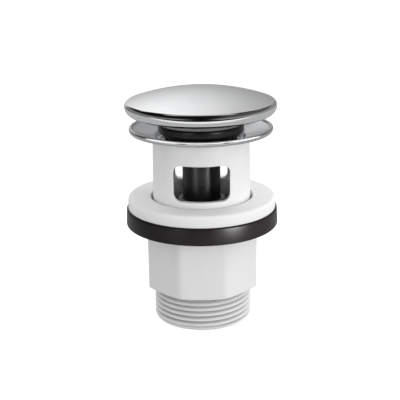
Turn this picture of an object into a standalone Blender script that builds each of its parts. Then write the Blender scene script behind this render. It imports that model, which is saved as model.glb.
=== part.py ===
"""Push-open basin waste: domed plug, flange cup, slotted barrel, clamping rings and tailpiece.

Metres, +Z up. The origin is the centre of the outlet thread's end face, on the waste's axis.
Every piece is turned about that axis or placed round it; the front overflow window faces -Y.
"""

import math

import bmesh
import bpy
from mathutils import Vector

MM = 0.001

# Clearances and broken edges
SEAT_GAP = 0.3 * MM          # between faces that rest on each other
RUNNING_GAP = 0.3 * MM       # round a piece that slides or turns
TRACK_GAP = 0.4 * MM         # round a cam lug in its track
SMALL_EDGE = 0.3 * MM        # chamfer that breaks a moulded edge
EDGE = 0.4 * MM              # chamfer on a moulded rim
WIDE_EDGE = 0.5 * MM         # chamfer on a turned or moulded end
CUT_MARGIN = 1.0 * MM        # that a cutter stands past what it cuts

# Facets round a full turn
WIDE_STEPS = 40
SLIM_STEPS = 24

# Tailpiece: outlet thread, octagon and socket
THREAD_RADIUS = 20.955 * MM  # major radius of the outlet's pipe thread, 1 1/4 inch
THREAD_LENGTH = 12.9 * MM
THREAD_CHAMFER = 0.7 * MM
THREAD_SHOULDER = 0.4 * MM
RELIEF_WIDTH = 1.8 * MM
RELIEF_DEPTH = 1.3 * MM
OUTLET_WALL = 3.555 * MM     # from the thread's crests to the bore
SOCKET_WALL = 2.15 * MM      # at the middle of the octagon's sides
OCTAGON_SIDES = 8
OCTAGON_HEIGHT = 26.1 * MM
OCTAGON_CORNER_RADIUS = 4.0 * MM
OCTAGON_CHAMFER_HEIGHT = 0.5 * MM
OCTAGON_CHAMFER_INSET = 0.2 * MM
COLLAR_OVERHANG = 2.1 * MM   # past the octagon's sides
COLLAR_HEIGHT = 1.0 * MM
SOCKET_FLOOR_HEIGHT = 3.6 * MM
SOCKET_MOUTH_CHAMFER = 0.6 * MM

# Tail seal: flat ring on the socket's floor
TAIL_SEAL_HEIGHT = 1.5 * MM
TAIL_SEAL_INSET = 0.4 * MM   # back from the outlet's bore

# Clamping rings
GASKET_WIDTH = 11.35 * MM
GASKET_HEIGHT = 6.9 * MM
GASKET_DRAFT = 0.3 * MM
GASKET_ROUNDING = 0.7 * MM
WASHER_WIDTH = 9.35 * MM
WASHER_HEIGHT = 4.5 * MM
WASHER_ROUNDING = 1.0 * MM
WASHER_BORE_CLEARANCE = 1.1 * MM
SCREW_UP_TRAVEL = 2.0 * MM   # one turn of the tailpiece, before the rings reach the windows

# Barrel, a little under the size of the thread on its hidden end
BARREL_INSET = 0.405 * MM
BARREL_TOP_DRAFT = 0.35 * MM
BARREL_WALL = 2.35 * MM
BARREL_LEDGE = 1.2 * MM      # inward step that carries the basket
BARREL_COUNTERBORE_WALL = 0.85 * MM
BARREL_DRAFT_HEIGHT = 16.0 * MM
BARREL_END_CHAMFER = 0.8 * MM

# Overflow windows
WINDOW_WIDTH = 22.8 * MM
WINDOW_HEIGHT = 14.9 * MM
WINDOW_CORNER_RADIUS = 3.0 * MM
WINDOW_CORNER_STEPS = 5
WINDOW_SILL = 2.2 * MM       # above the clamping washer

# Flange cup
CLAMPED_DEPTH = 27.6 * MM    # basin wall between washer and flange
FLANGE_OVERHANG = 9.45 * MM  # past the barrel
FLANGE_RIM_HEIGHT = 2.15 * MM
FLANGE_RIM_WIDTH = 1.4 * MM
FLANGE_CREST_INSET = 0.75 * MM
FLANGE_CREST_BULGE = 0.2 * MM
FLANGE_SHOULDER = (0.5 * MM, 0.25 * MM)   # inward and down from the crest
FLANGE_SEAT_INSET = 0.5 * MM
FLANGE_SEAT_WIDTH = 2.0 * MM
DISH_DROP = 1.2 * MM         # rim crest to dish edge
DISH_FALL = 2.1 * MM         # dish edge to throat
DISH_EDGE_HOLLOW = 0.12 * MM
CUP_SHEET = 0.85 * MM
CUP_NECK_WALL = 0.7 * MM
CUP_NECK_FILLET = (1.0 * MM, 0.1 * MM)    # under the dish, outward and down
THROAT_LIP_WIDTH = 1.6 * MM
THROAT_LIP_HEIGHT = 1.4 * MM
THROAT_LIP_BULGE = 0.35 * MM
THROAT_CLEARANCE = 0.45 * MM
VALVE_CONE_WIDTH = 1.3 * MM  # that the seal covers
VALVE_CONE_HEIGHT = 1.55 * MM
SKIRT_LENGTH = 2.4 * MM
SKIRT_WALL = 1.3 * MM
O_RING_SECTION = 0.9 * MM

# Plug, from the cap down
PLUG_TRAVEL = 4.9 * MM
CAP_LIFT = 3.45 * MM         # flange crest to the cap's lowest edge when open
CAP_OVERHANG = 1.5 * MM      # past the flange
CAP_DOME_INSET = 0.9 * MM
CAP_DOME_RISE = 5.25 * MM
CAP_RIM_HEIGHT = 1.95 * MM   # from the dome's edge down to the widest line
CAP_RIM_BULGE = 0.25 * MM
CAP_RIM_ROUNDING = 3.6 * MM  # under the widest line
CAP_RIM_TURN = math.radians(72.0)
CAP_RIM_STEPS = 5
CAP_UNDERSIDE_HEIGHT = 5.2 * MM   # from the widest line down to the lowest edge
CAP_UNDERSIDE_WIDTH = 8.9 * MM    # from the widest line in to the recess
CAP_RECESS_EDGE = 0.8 * MM
CAP_THICKNESS = 2.2 * MM
INSERT_SKIRT_HEIGHT = 6.0 * MM
INSERT_SKIRT_WALL = 1.5 * MM
INSERT_PLATE = 2.0 * MM
INSERT_BOSS_RADIUS = 7.5 * MM
INSERT_FOOT_INSET = 2.2 * MM # inside the retainer's radius
INSERT_FOOT_HEIGHT = 1.6 * MM
INSERT_RIBS = 6
INSERT_RIB_WIDTH = 1.4 * MM
INSERT_RIB_HEIGHT = 3.0 * MM
INSERT_RIB_ROOT = 0.5 * MM   # that a rib sinks into what it joins
STUD_RADIUS = 3.0 * MM
STUD_DEPTH_IN_INSERT = 7.5 * MM
STUD_DEPTH_IN_PLUNGER = 6.7 * MM
SEAL_HEIGHT = 4.5 * MM
SEAL_BELOW_CAP = 2.2 * MM
SEAL_LIP_HEIGHT = 3.5 * MM
SEAL_LIP_CHAMFER = (0.4 * MM, 0.8 * MM)   # inward and up
SEAL_ROUNDING = 1.0 * MM
SEAL_OVERHANG = 2.7 * MM     # past the retainer
SEAL_LIP_ROOT = (0.9 * MM, 0.1 * MM)      # outside the retainer, above the seal's underside
RETAINER_HEIGHT = 5.6 * MM
RETAINER_WALL = 1.4 * MM
RETAINER_PLATE = 2.0 * MM
RETAINER_BOSS_RADIUS = 6.3 * MM
PLUNGER_RADIUS = 5.2 * MM
PLUNGER_HEAD_WIDTH = 3.3 * MM
PLUNGER_HEAD_HEIGHT = 1.8 * MM

# Cartridge
HOUSING_WALL = 1.0 * MM      # round the cam ring
HOUSING_BOTTOM_OVERHANG = 1.2 * MM
COLLAR_FLANGE_HEIGHT = 1.3 * MM
COLLAR_NECK_HEIGHT = 2.7 * MM
CAM_RING_WALL = 1.2 * MM
CAM_RING_HEIGHT = 4.6 * MM
CAM_LUGS = 2
CAM_LUG_HEIGHT = 1.6 * MM
CAM_LUG_SPAN = math.radians(22.0)
CAM_LUG_REACH = 0.65 * MM    # into the plunger's tracks
CAM_TRACK_DEPTH = 1.0 * MM
CAM_TURN = math.radians(60.0)
BASE_FLANGE_HEIGHT = 1.3 * MM
BASE_PLUG_HEIGHT = 2.5 * MM
BASE_PIN_CLEARANCE = 0.8 * MM   # inside the spring's coils
BASE_PIN_HEIGHT = 4.5 * MM
SPRING_SEAT_HEIGHT = 0.8 * MM
SPRING_BORE_WALL = 1.5 * MM
SPRING_BORE_BELOW_TRACK = 1.2 * MM
SPRING_WIRE = 0.8 * MM
SPRING_TURNS = 7
NUT_WALL = 1.2 * MM          # at the middle of the nut's sides
NUT_HEIGHT = 3.2 * MM

# Guide basket
BASKET_HEIGHT = 15.1 * MM
BASKET_WALL = 1.5 * MM
BASKET_BELOW_WINDOW = 0.6 * MM
HUB_WALL = 1.9 * MM
HUB_BELOW_RIM = 2.9 * MM
SPOKES = 4
SPOKE_WIDTH = 2.2 * MM
SPOKE_HEIGHT = 4.8 * MM
SPOKE_ROOT = 0.7 * MM        # that each end sinks into the ring and the hub

# Radii, outward from the outlet's thread
BARREL_RADIUS = THREAD_RADIUS - BARREL_INSET
BARREL_TOP_RADIUS = BARREL_RADIUS - BARREL_TOP_DRAFT
BARREL_BORE = BARREL_RADIUS - BARREL_WALL
OUTLET_BORE_RADIUS = THREAD_RADIUS - OUTLET_WALL
SOCKET_RADIUS = BARREL_RADIUS + RUNNING_GAP
OCTAGON_ACROSS_FLATS = 2 * (SOCKET_RADIUS + SOCKET_WALL)
COLLAR_RADIUS = OCTAGON_ACROSS_FLATS / 2 + COLLAR_OVERHANG
GASKET_BORE = BARREL_RADIUS + RUNNING_GAP
GASKET_RADIUS = GASKET_BORE + GASKET_WIDTH
WASHER_BORE = BARREL_RADIUS + WASHER_BORE_CLEARANCE
WASHER_RADIUS = WASHER_BORE + WASHER_WIDTH
FLANGE_RADIUS = BARREL_RADIUS + FLANGE_OVERHANG
CAP_RADIUS = FLANGE_RADIUS + CAP_OVERHANG
CAP_DOME_RADIUS = CAP_RADIUS - CAP_DOME_INSET
CAP_LOWEST_RADIUS = CAP_RADIUS - CAP_UNDERSIDE_WIDTH
CAP_RECESS_RADIUS = CAP_LOWEST_RADIUS - CAP_RECESS_EDGE

# Radii, inward from the barrel's top
COUNTERBORE_RADIUS = BARREL_TOP_RADIUS - BARREL_COUNTERBORE_WALL
CUP_NECK_RADIUS = COUNTERBORE_RADIUS - SEAT_GAP
THROAT_RADIUS = CUP_NECK_RADIUS - CUP_NECK_WALL
THROAT_LIP_RADIUS = THROAT_RADIUS + THROAT_LIP_WIDTH
SEAL_RADIUS = THROAT_RADIUS - THROAT_CLEARANCE
RETAINER_RADIUS = SEAL_RADIUS - SEAL_OVERHANG
INSERT_FOOT_RADIUS = RETAINER_RADIUS - INSERT_FOOT_INSET
VALVE_BORE_RADIUS = SEAL_RADIUS - VALVE_CONE_WIDTH
SKIRT_RADIUS = VALVE_BORE_RADIUS + SKIRT_WALL

# Radii of the cartridge, outward from the plunger
PLUNGER_HEAD_RADIUS = PLUNGER_RADIUS + PLUNGER_HEAD_WIDTH
SPRING_BORE_RADIUS = PLUNGER_RADIUS - SPRING_BORE_WALL
SPRING_RADIUS = SPRING_BORE_RADIUS - SEAT_GAP - SPRING_WIRE / 2
BASE_PIN_RADIUS = SPRING_RADIUS - SPRING_WIRE / 2 - BASE_PIN_CLEARANCE
PLUNGER_BORE = PLUNGER_RADIUS + RUNNING_GAP
CAM_RING_RADIUS = PLUNGER_BORE + CAM_RING_WALL
CAM_BORE = CAM_RING_RADIUS + RUNNING_GAP
HOUSING_RADIUS = CAM_BORE + HOUSING_WALL
HUB_BORE = HOUSING_RADIUS + SEAT_GAP
HUB_RADIUS = HUB_BORE + HUB_WALL
NUT_ACROSS_FLATS = 2 * (HUB_BORE + NUT_WALL)
BASKET_RADIUS = BARREL_BORE - SEAT_GAP
STUD_BORE_RADIUS = STUD_RADIUS + SEAT_GAP

# Levels of the tailpiece and clamping rings, up from the outlet's end
OCTAGON_BOTTOM = THREAD_LENGTH + RELIEF_WIDTH
OCTAGON_TOP = OCTAGON_BOTTOM + OCTAGON_HEIGHT
TAIL_TOP = OCTAGON_TOP + COLLAR_HEIGHT
SOCKET_FLOOR = OCTAGON_BOTTOM + SOCKET_FLOOR_HEIGHT
TAIL_SEAL_BOTTOM = SOCKET_FLOOR + SEAT_GAP
TAIL_SEAL_TOP = TAIL_SEAL_BOTTOM + TAIL_SEAL_HEIGHT
GASKET_BOTTOM = TAIL_TOP + SEAT_GAP
GASKET_TOP = GASKET_BOTTOM + GASKET_HEIGHT
WASHER_BOTTOM = GASKET_TOP + SEAT_GAP
WASHER_TOP = WASHER_BOTTOM + WASHER_HEIGHT

# Levels of the flange cup
FLANGE_SEAT = WASHER_TOP + CLAMPED_DEPTH
FLANGE_CREST = FLANGE_SEAT + FLANGE_RIM_HEIGHT
DISH_EDGE_RADIUS = FLANGE_RADIUS - FLANGE_RIM_WIDTH
DISH_EDGE = FLANGE_CREST - DISH_DROP
THROAT_LIP = DISH_EDGE - DISH_FALL

# Levels of the plug when it is up
CAP_BOTTOM = FLANGE_CREST + CAP_LIFT
CAP_WIDEST = CAP_BOTTOM + CAP_UNDERSIDE_HEIGHT
CAP_RIM_TOP = CAP_WIDEST + CAP_RIM_HEIGHT
CAP_TOP = CAP_RIM_TOP + CAP_DOME_RISE
CAP_DOME_SPHERE = (CAP_DOME_RADIUS ** 2 + CAP_DOME_RISE ** 2) / (2 * CAP_DOME_RISE)
SEAL_TOP = CAP_BOTTOM - SEAL_BELOW_CAP
SEAL_BOTTOM = SEAL_TOP - SEAL_HEIGHT
SEAL_LIP_BOTTOM = SEAL_TOP - SEAL_LIP_HEIGHT
RETAINER_TOP = SEAL_BOTTOM - SEAT_GAP
RETAINER_BOTTOM = RETAINER_TOP - RETAINER_HEIGHT
RETAINER_PLATE_BOTTOM = RETAINER_TOP - RETAINER_PLATE
PLUNGER_TOP = RETAINER_PLATE_BOTTOM - SEAT_GAP
PLUNGER_HEAD_BOTTOM = PLUNGER_TOP - PLUNGER_HEAD_HEIGHT
INSERT_BOTTOM = SEAL_TOP + SEAT_GAP
VALVE_CONE_TOP = SEAL_LIP_BOTTOM - PLUG_TRAVEL + SEAT_GAP
VALVE_CONE_BOTTOM = VALVE_CONE_TOP - VALVE_CONE_HEIGHT
SKIRT_BOTTOM = VALVE_CONE_BOTTOM - SKIRT_LENGTH

# Barrel levels, between the flange cup above and the tailpiece below
BARREL_TOP = THROAT_LIP - CUP_SHEET - SEAT_GAP
BARREL_BOTTOM = TAIL_SEAL_TOP + SCREW_UP_TRAVEL + SEAT_GAP
CUP_NECK_BOTTOM = VALVE_CONE_BOTTOM - SEAT_GAP
O_RING_TOP = CUP_NECK_BOTTOM - SEAT_GAP
COUNTERBORE_BOTTOM = O_RING_TOP - O_RING_SECTION - SEAT_GAP
WINDOW_BOTTOM = WASHER_TOP + WINDOW_SILL
WINDOW_TOP = WINDOW_BOTTOM + WINDOW_HEIGHT

# Basket and cartridge levels
BASKET_TOP = WINDOW_BOTTOM - BASKET_BELOW_WINDOW
BASKET_BOTTOM = BASKET_TOP - BASKET_HEIGHT
HUB_TOP = BASKET_TOP - HUB_BELOW_RIM
NUT_TOP = BASKET_BOTTOM - SEAT_GAP
NUT_BOTTOM = NUT_TOP - NUT_HEIGHT
HOUSING_BOTTOM = NUT_BOTTOM - HOUSING_BOTTOM_OVERHANG
COLLAR_TOP = PLUNGER_HEAD_BOTTOM - PLUG_TRAVEL - TRACK_GAP
HOUSING_TOP = COLLAR_TOP - COLLAR_FLANGE_HEIGHT - SEAT_GAP
CAM_RING_TOP = HOUSING_TOP - COLLAR_NECK_HEIGHT - RUNNING_GAP
CAM_RING_BOTTOM = CAM_RING_TOP - CAM_RING_HEIGHT
CAM_LEDGE = CAM_RING_BOTTOM - RUNNING_GAP
CAM_LUG_MIDDLE = (CAM_RING_TOP + CAM_RING_BOTTOM) / 2
CAM_LEAD = PLUG_TRAVEL * 2 * math.pi / CAM_TURN
BASE_TOP = HOUSING_BOTTOM + BASE_PLUG_HEIGHT
SPRING_SEAT_BOTTOM = BASE_TOP + SEAT_GAP
SPRING_SEAT_TOP = SPRING_SEAT_BOTTOM + SPRING_SEAT_HEIGHT
PLUNGER_BOTTOM = SPRING_SEAT_TOP + PLUG_TRAVEL + TRACK_GAP
SPRING_BORE_TOP = CAM_LUG_MIDDLE - CAM_LUG_HEIGHT - TRACK_GAP - SPRING_BORE_BELOW_TRACK


def empty_scene():
    """Clears the objects that a new file opens with."""
    for obj in list(bpy.data.objects):
        bpy.data.objects.remove(obj, do_unlink=True)


def new_collection(name):
    collection = bpy.data.collections.new(name)
    bpy.context.scene.collection.children.link(collection)
    return collection


def new_material(name, colour, roughness, metallic=0.0):
    material = bpy.data.materials.new(name)
    material.use_nodes = True
    shader = material.node_tree.nodes["Principled BSDF"]
    shader.inputs["Base Color"].default_value = (*colour, 1.0)
    shader.inputs["Roughness"].default_value = roughness
    shader.inputs["Metallic"].default_value = metallic
    return material


empty_scene()
PARTS = new_collection("basin_waste")
CUTTERS = new_collection("cutters")


def arc(start, end, bulge, steps):
    """Points from start to end on a circular arc that stands bulge to the left of the way."""
    start = Vector(start)
    end = Vector(end)
    chord = end - start
    middle = (start + end) / 2
    left = Vector((-chord.y, chord.x)).normalized()
    radius = (chord.length ** 2 / 4 + bulge ** 2) / (2 * abs(bulge))
    side = math.copysign(1.0, bulge)
    centre = middle - left * side * (radius - abs(bulge))
    first = math.atan2(start.y - centre.y, start.x - centre.x)
    half = math.asin(min(1.0, chord.length / (2 * radius)))
    turn = -side * 2 * half / steps
    ring = []
    for step in range(steps + 1):
        angle = first + turn * step
        ring.append((centre.x + radius * math.cos(angle), centre.y + radius * math.sin(angle)))
    return ring


def rounded(corner, before, after, steps=3):
    """Points of a quarter arc that rounds a square corner between two points on its sides."""
    leg = min((Vector(before) - Vector(corner)).length, (Vector(after) - Vector(corner)).length)
    bulge = leg * (math.sqrt(2) - 1) / math.sqrt(2)
    return arc(before, after, bulge, steps)


def link(obj, collection, material=None):
    collection.objects.link(obj)
    if material is not None:
        obj.data.materials.append(material)
    return obj


def turned(name, outline, steps, material=None, collection=None):
    """Turns an (r, z) outline about the axis. It is listed down its outer side, top to bottom."""
    mesh = bpy.data.meshes.new(name)
    points = [(radius, 0.0, height) for radius, height in outline]
    edges = [(index, index + 1) for index in range(len(points) - 1)]
    touches_axis = outline[0][0] == 0.0 and outline[-1][0] == 0.0
    if not touches_axis:
        edges.append((len(points) - 1, 0))
    mesh.from_pydata(points, edges, [])
    obj = link(bpy.data.objects.new(name, mesh), collection or PARTS, material)
    screw = obj.modifiers.new("Turn", "SCREW")
    screw.axis = "Z"
    screw.angle = math.tau
    screw.steps = steps
    screw.render_steps = steps
    screw.use_merge_vertices = True
    screw.merge_threshold = 0.00001
    return obj


def as_cutter(obj):
    obj.hide_render = True
    obj.display_type = "WIRE"
    return obj


def combine(obj, other, operation):
    boolean = obj.modifiers.new(other.name, "BOOLEAN")
    boolean.object = other
    boolean.operation = operation
    boolean.solver = "EXACT"
    as_cutter(other)


def block(name, size, centre, angle=0.0):
    """A box among the cutters, turned about the waste's axis by angle."""
    bpy.ops.mesh.primitive_cube_add(size=1.0)
    obj = bpy.context.object
    obj.name = name
    for vertex in obj.data.vertices:
        vertex.co = Vector(centre) + Vector(a * b for a, b in zip(vertex.co, size))
    obj.rotation_euler.z = angle
    move_to(obj, CUTTERS)
    return obj


def move_to(obj, collection):
    for owner in list(obj.users_collection):
        owner.objects.unlink(obj)
    collection.objects.link(obj)


def prism(name, sides, across_flats, bottom, top):
    """A regular prism among the cutters, with a flat facing +X."""
    bpy.ops.mesh.primitive_cylinder_add(
        vertices=sides,
        radius=across_flats / 2 / math.cos(math.pi / sides),
        depth=top - bottom,
        location=(0.0, 0.0, (top + bottom) / 2),
        rotation=(0.0, 0.0, math.pi / 2 + math.pi / sides),
    )
    obj = bpy.context.object
    obj.name = name
    move_to(obj, CUTTERS)
    return obj


def round_edges_along(obj, axis, width, steps):
    """Rounds the straight edges of a prism or box that run along one of its axes."""
    bevel = obj.modifiers.new("Corners", "BEVEL")
    bevel.width = width
    bevel.segments = steps
    bevel.limit_method = "WEIGHT"
    mesh = obj.data
    weights = mesh.attributes.new("bevel_weight_edge", "FLOAT", "EDGE")
    for edge in mesh.edges:
        first, second = (mesh.vertices[index].co for index in edge.vertices)
        along = (second - first).normalized()
        weights.data[edge.index].value = 1.0 if abs(along[axis]) > 0.99 else 0.0


def helical_prism(name, inner, outer, middle, height, start, end, steps=10):
    """A block of rectangular section that climbs round the axis on the cam's lead."""
    mesh = bpy.data.meshes.new(name)
    build = bmesh.new()
    rise = CAM_LEAD / math.tau
    low = middle + rise * start - height / 2
    corners = [(inner, low), (outer, low), (outer, low + height), (inner, low + height)]
    vertices = []
    for radius, level in corners:
        vertices.append(build.verts.new((radius * math.cos(start), radius * math.sin(start), level)))
    face = build.faces.new(vertices)
    bmesh.ops.spin(
        build,
        geom=[face],
        cent=(0.0, 0.0, 0.0),
        axis=(0.0, 0.0, 1.0),
        dvec=(0.0, 0.0, rise * (end - start) / steps),
        angle=end - start,
        steps=steps,
        use_duplicate=False,
    )
    bmesh.ops.recalc_face_normals(build, faces=build.faces)
    build.to_mesh(mesh)
    build.free()
    return link(bpy.data.objects.new(name, mesh), CUTTERS)


def dome_arc(rim_radius, top, sphere, steps):
    """Points of a dome from its top on the axis down to rim_radius."""
    points = []
    for step in range(steps + 1):
        radius = rim_radius * step / steps
        points.append((radius, top - sphere + math.sqrt(sphere ** 2 - radius ** 2)))
    return points


def make_plug_cap(material):
    """Cast dome: rounded rim, shallow underside, and a recess for the insert."""
    widest = (CAP_RADIUS, CAP_WIDEST)
    outline = dome_arc(CAP_DOME_RADIUS, CAP_TOP, CAP_DOME_SPHERE, 7)
    outline += arc((CAP_DOME_RADIUS, CAP_RIM_TOP), widest, CAP_RIM_BULGE, 3)[1:]
    for step in range(1, CAP_RIM_STEPS + 1):
        turn = CAP_RIM_TURN * step / CAP_RIM_STEPS
        inward = CAP_RIM_ROUNDING * (1 - math.cos(turn))
        outline.append((CAP_RADIUS - inward, CAP_WIDEST - CAP_RIM_ROUNDING * math.sin(turn)))
    outline.append((CAP_LOWEST_RADIUS, CAP_BOTTOM))
    outline.append((CAP_RECESS_RADIUS, CAP_BOTTOM + CAP_RECESS_EDGE / 2))
    inner = dome_arc(CAP_RECESS_RADIUS, CAP_TOP - CAP_THICKNESS, CAP_DOME_SPHERE, 3)
    outline += reversed(inner)
    return turned("plug_cap", outline, WIDE_STEPS, material)


def make_cap_insert(material):
    """Ribbed carrier in the cap's recess, with a boss that clamps the seal."""
    skirt = CAP_RECESS_RADIUS - SEAT_GAP
    skirt_inner = skirt - INSERT_SKIRT_WALL
    dome = dome_arc(skirt, CAP_TOP - CAP_THICKNESS - SEAT_GAP, CAP_DOME_SPHERE, 4)
    plate_bottom = dome[-1][1] - INSERT_PLATE
    foot_top = INSERT_BOTTOM + INSERT_FOOT_HEIGHT
    bore_top = INSERT_BOTTOM + STUD_DEPTH_IN_INSERT + SEAT_GAP
    skirt_bottom = dome[-1][1] - INSERT_SKIRT_HEIGHT
    outline = dome + [
        (skirt, skirt_bottom),
        (skirt_inner, skirt_bottom),
        (skirt_inner, plate_bottom),
        (INSERT_BOSS_RADIUS, plate_bottom),
        (INSERT_BOSS_RADIUS, foot_top),
        (INSERT_FOOT_RADIUS, foot_top),
        (INSERT_FOOT_RADIUS, INSERT_BOTTOM),
        (STUD_BORE_RADIUS, INSERT_BOTTOM),
        (STUD_BORE_RADIUS, bore_top),
        (0.0, bore_top),
    ]
    insert = turned("cap_insert", outline, SLIM_STEPS, material)
    length = skirt_inner - INSERT_BOSS_RADIUS + 2 * INSERT_RIB_ROOT
    centre_radius = (skirt_inner + INSERT_BOSS_RADIUS) / 2
    for index in range(INSERT_RIBS):
        size = (length, INSERT_RIB_WIDTH, INSERT_RIB_HEIGHT + INSERT_RIB_ROOT)
        centre = (centre_radius, 0.0, plate_bottom + (INSERT_RIB_ROOT - INSERT_RIB_HEIGHT) / 2)
        rib = block(f"insert_rib_{index}", size, centre, math.tau * index / INSERT_RIBS)
        combine(insert, rib, "UNION")
    return insert


def make_plug_stud(material):
    """Stud from the plunger's head up into the insert's boss."""
    bottom = PLUNGER_TOP - STUD_DEPTH_IN_PLUNGER
    top = INSERT_BOTTOM + STUD_DEPTH_IN_INSERT
    outline = [
        (0.0, top),
        (STUD_RADIUS - WIDE_EDGE, top),
        (STUD_RADIUS, top - WIDE_EDGE),
        (STUD_RADIUS, bottom + WIDE_EDGE),
        (STUD_RADIUS - WIDE_EDGE, bottom),
        (0.0, bottom),
    ]
    return turned("plug_stud", outline, SLIM_STEPS, material)


def make_plug_seal(material):
    """Rubber disc whose lip closes on the valve cone."""
    bore = RETAINER_BOSS_RADIUS + SEAT_GAP
    chamfer_in, chamfer_up = SEAL_LIP_CHAMFER
    root_out, root_up = SEAL_LIP_ROOT
    lip_top = (SEAL_RADIUS, SEAL_TOP - SEAL_ROUNDING)
    outline = [(SEAL_RADIUS - SEAL_ROUNDING, SEAL_TOP)]
    outline += rounded((SEAL_RADIUS, SEAL_TOP), outline[0], lip_top)[1:]
    outline += [
        (SEAL_RADIUS, SEAL_LIP_BOTTOM + chamfer_up),
        (SEAL_RADIUS - chamfer_in, SEAL_LIP_BOTTOM),
        (RETAINER_RADIUS + root_out, SEAL_BOTTOM + root_up),
        (RETAINER_RADIUS, SEAL_BOTTOM),
        (bore, SEAL_BOTTOM),
        (bore, SEAL_TOP),
    ]
    return turned("plug_seal", outline, WIDE_STEPS, material)


def make_seal_retainer(material):
    """Inverted cup under the seal, with a boss up through it for the stud."""
    inner = RETAINER_RADIUS - RETAINER_WALL
    boss_top = SEAL_TOP - SEAT_GAP
    outline = [
        (RETAINER_BOSS_RADIUS, boss_top),
        (RETAINER_BOSS_RADIUS, RETAINER_TOP),
        (RETAINER_RADIUS - EDGE, RETAINER_TOP),
        (RETAINER_RADIUS, RETAINER_TOP - EDGE),
        (RETAINER_RADIUS - SMALL_EDGE, RETAINER_BOTTOM + WIDE_EDGE),
        (RETAINER_RADIUS - SMALL_EDGE - WIDE_EDGE, RETAINER_BOTTOM),
        (inner, RETAINER_BOTTOM),
        (inner, RETAINER_PLATE_BOTTOM),
        (STUD_BORE_RADIUS, RETAINER_PLATE_BOTTOM),
        (STUD_BORE_RADIUS, boss_top),
    ]
    return turned("seal_retainer", outline, WIDE_STEPS, material)


def make_plunger(material):
    """Stem with a head, a stud bore, a spring bore and the cam's helical tracks."""
    stud_bore_bottom = PLUNGER_TOP - STUD_DEPTH_IN_PLUNGER - SEAT_GAP
    outline = [
        (0.0, stud_bore_bottom),
        (STUD_BORE_RADIUS, stud_bore_bottom),
        (STUD_BORE_RADIUS, PLUNGER_TOP),
        (PLUNGER_HEAD_RADIUS, PLUNGER_TOP),
        (PLUNGER_HEAD_RADIUS, PLUNGER_HEAD_BOTTOM),
        (PLUNGER_RADIUS, PLUNGER_HEAD_BOTTOM),
        (PLUNGER_RADIUS, PLUNGER_BOTTOM + WIDE_EDGE),
        (PLUNGER_RADIUS - WIDE_EDGE, PLUNGER_BOTTOM),
        (SPRING_BORE_RADIUS, PLUNGER_BOTTOM),
        (SPRING_BORE_RADIUS, SPRING_BORE_TOP),
        (0.0, SPRING_BORE_TOP),
    ]
    plunger = turned("plunger", outline, SLIM_STEPS, material)
    end_gap = TRACK_GAP / PLUNGER_RADIUS
    half_lug = CAM_LUG_SPAN / 2
    for index in range(CAM_LUGS):
        track = helical_prism(
            f"cam_track_{index}",
            PLUNGER_RADIUS - CAM_TRACK_DEPTH,
            PLUNGER_RADIUS + CUT_MARGIN,
            CAM_LUG_MIDDLE,
            CAM_LUG_HEIGHT + 2 * TRACK_GAP,
            -half_lug - end_gap,
            CAM_TURN + half_lug + end_gap,
        )
        track.rotation_euler.z = math.tau * index / CAM_LUGS
        combine(plunger, track, "DIFFERENCE")
    return plunger


def make_cam_ring(material):
    """Indexing ring with lugs that run in the plunger's tracks."""
    outline = [
        (CAM_RING_RADIUS, CAM_RING_TOP),
        (CAM_RING_RADIUS, CAM_RING_BOTTOM),
        (PLUNGER_BORE, CAM_RING_BOTTOM),
        (PLUNGER_BORE, CAM_RING_TOP),
    ]
    ring = turned("cam_ring", outline, SLIM_STEPS, material)
    for index in range(CAM_LUGS):
        lug = helical_prism(
            f"cam_lug_{index}",
            PLUNGER_RADIUS - CAM_LUG_REACH,
            (PLUNGER_BORE + CAM_RING_RADIUS) / 2,
            CAM_LUG_MIDDLE,
            CAM_LUG_HEIGHT,
            -CAM_LUG_SPAN / 2,
            CAM_LUG_SPAN / 2,
            4,
        )
        lug.rotation_euler.z = math.tau * index / CAM_LUGS
        combine(ring, lug, "UNION")
    return ring


def make_cartridge_housing(material):
    """Tube round the plunger, wider inside at the top for the cam ring."""
    outline = [
        (HOUSING_RADIUS, HOUSING_TOP),
        (HOUSING_RADIUS, HOUSING_BOTTOM),
        (PLUNGER_BORE, HOUSING_BOTTOM),
        (PLUNGER_BORE, CAM_LEDGE),
        (CAM_BORE, CAM_LEDGE),
        (CAM_BORE, HOUSING_TOP),
    ]
    return turned("cartridge_housing", outline, SLIM_STEPS, material)


def make_cartridge_collar(material):
    """Ring that traps the cam ring and guides the plunger."""
    flange_bottom = HOUSING_TOP + SEAT_GAP
    neck_radius = CAM_BORE - SEAT_GAP
    neck_bottom = HOUSING_TOP - COLLAR_NECK_HEIGHT
    outline = [
        (HOUSING_RADIUS - WIDE_EDGE, COLLAR_TOP),
        (HOUSING_RADIUS, COLLAR_TOP - WIDE_EDGE),
        (HOUSING_RADIUS, flange_bottom),
        (neck_radius, flange_bottom),
        (neck_radius, neck_bottom),
        (PLUNGER_BORE, neck_bottom),
        (PLUNGER_BORE, COLLAR_TOP),
    ]
    return turned("cartridge_collar", outline, SLIM_STEPS, material)


def make_cartridge_base(material):
    """Bottom plug of the cartridge, with the spring's guide pin."""
    flange_top = HOUSING_BOTTOM - SEAT_GAP
    flange_bottom = flange_top - BASE_FLANGE_HEIGHT
    plug_radius = PLUNGER_BORE - SEAT_GAP
    pin_top = BASE_TOP + BASE_PIN_HEIGHT
    outline = [
        (0.0, pin_top),
        (BASE_PIN_RADIUS - EDGE, pin_top),
        (BASE_PIN_RADIUS, pin_top - EDGE),
        (BASE_PIN_RADIUS, BASE_TOP),
        (plug_radius, BASE_TOP),
        (plug_radius, flange_top),
        (HOUSING_RADIUS, flange_top),
        (HOUSING_RADIUS, flange_bottom + WIDE_EDGE),
        (HOUSING_RADIUS - WIDE_EDGE, flange_bottom),
        (0.0, flange_bottom),
    ]
    return turned("cartridge_base", outline, SLIM_STEPS, material)


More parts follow.
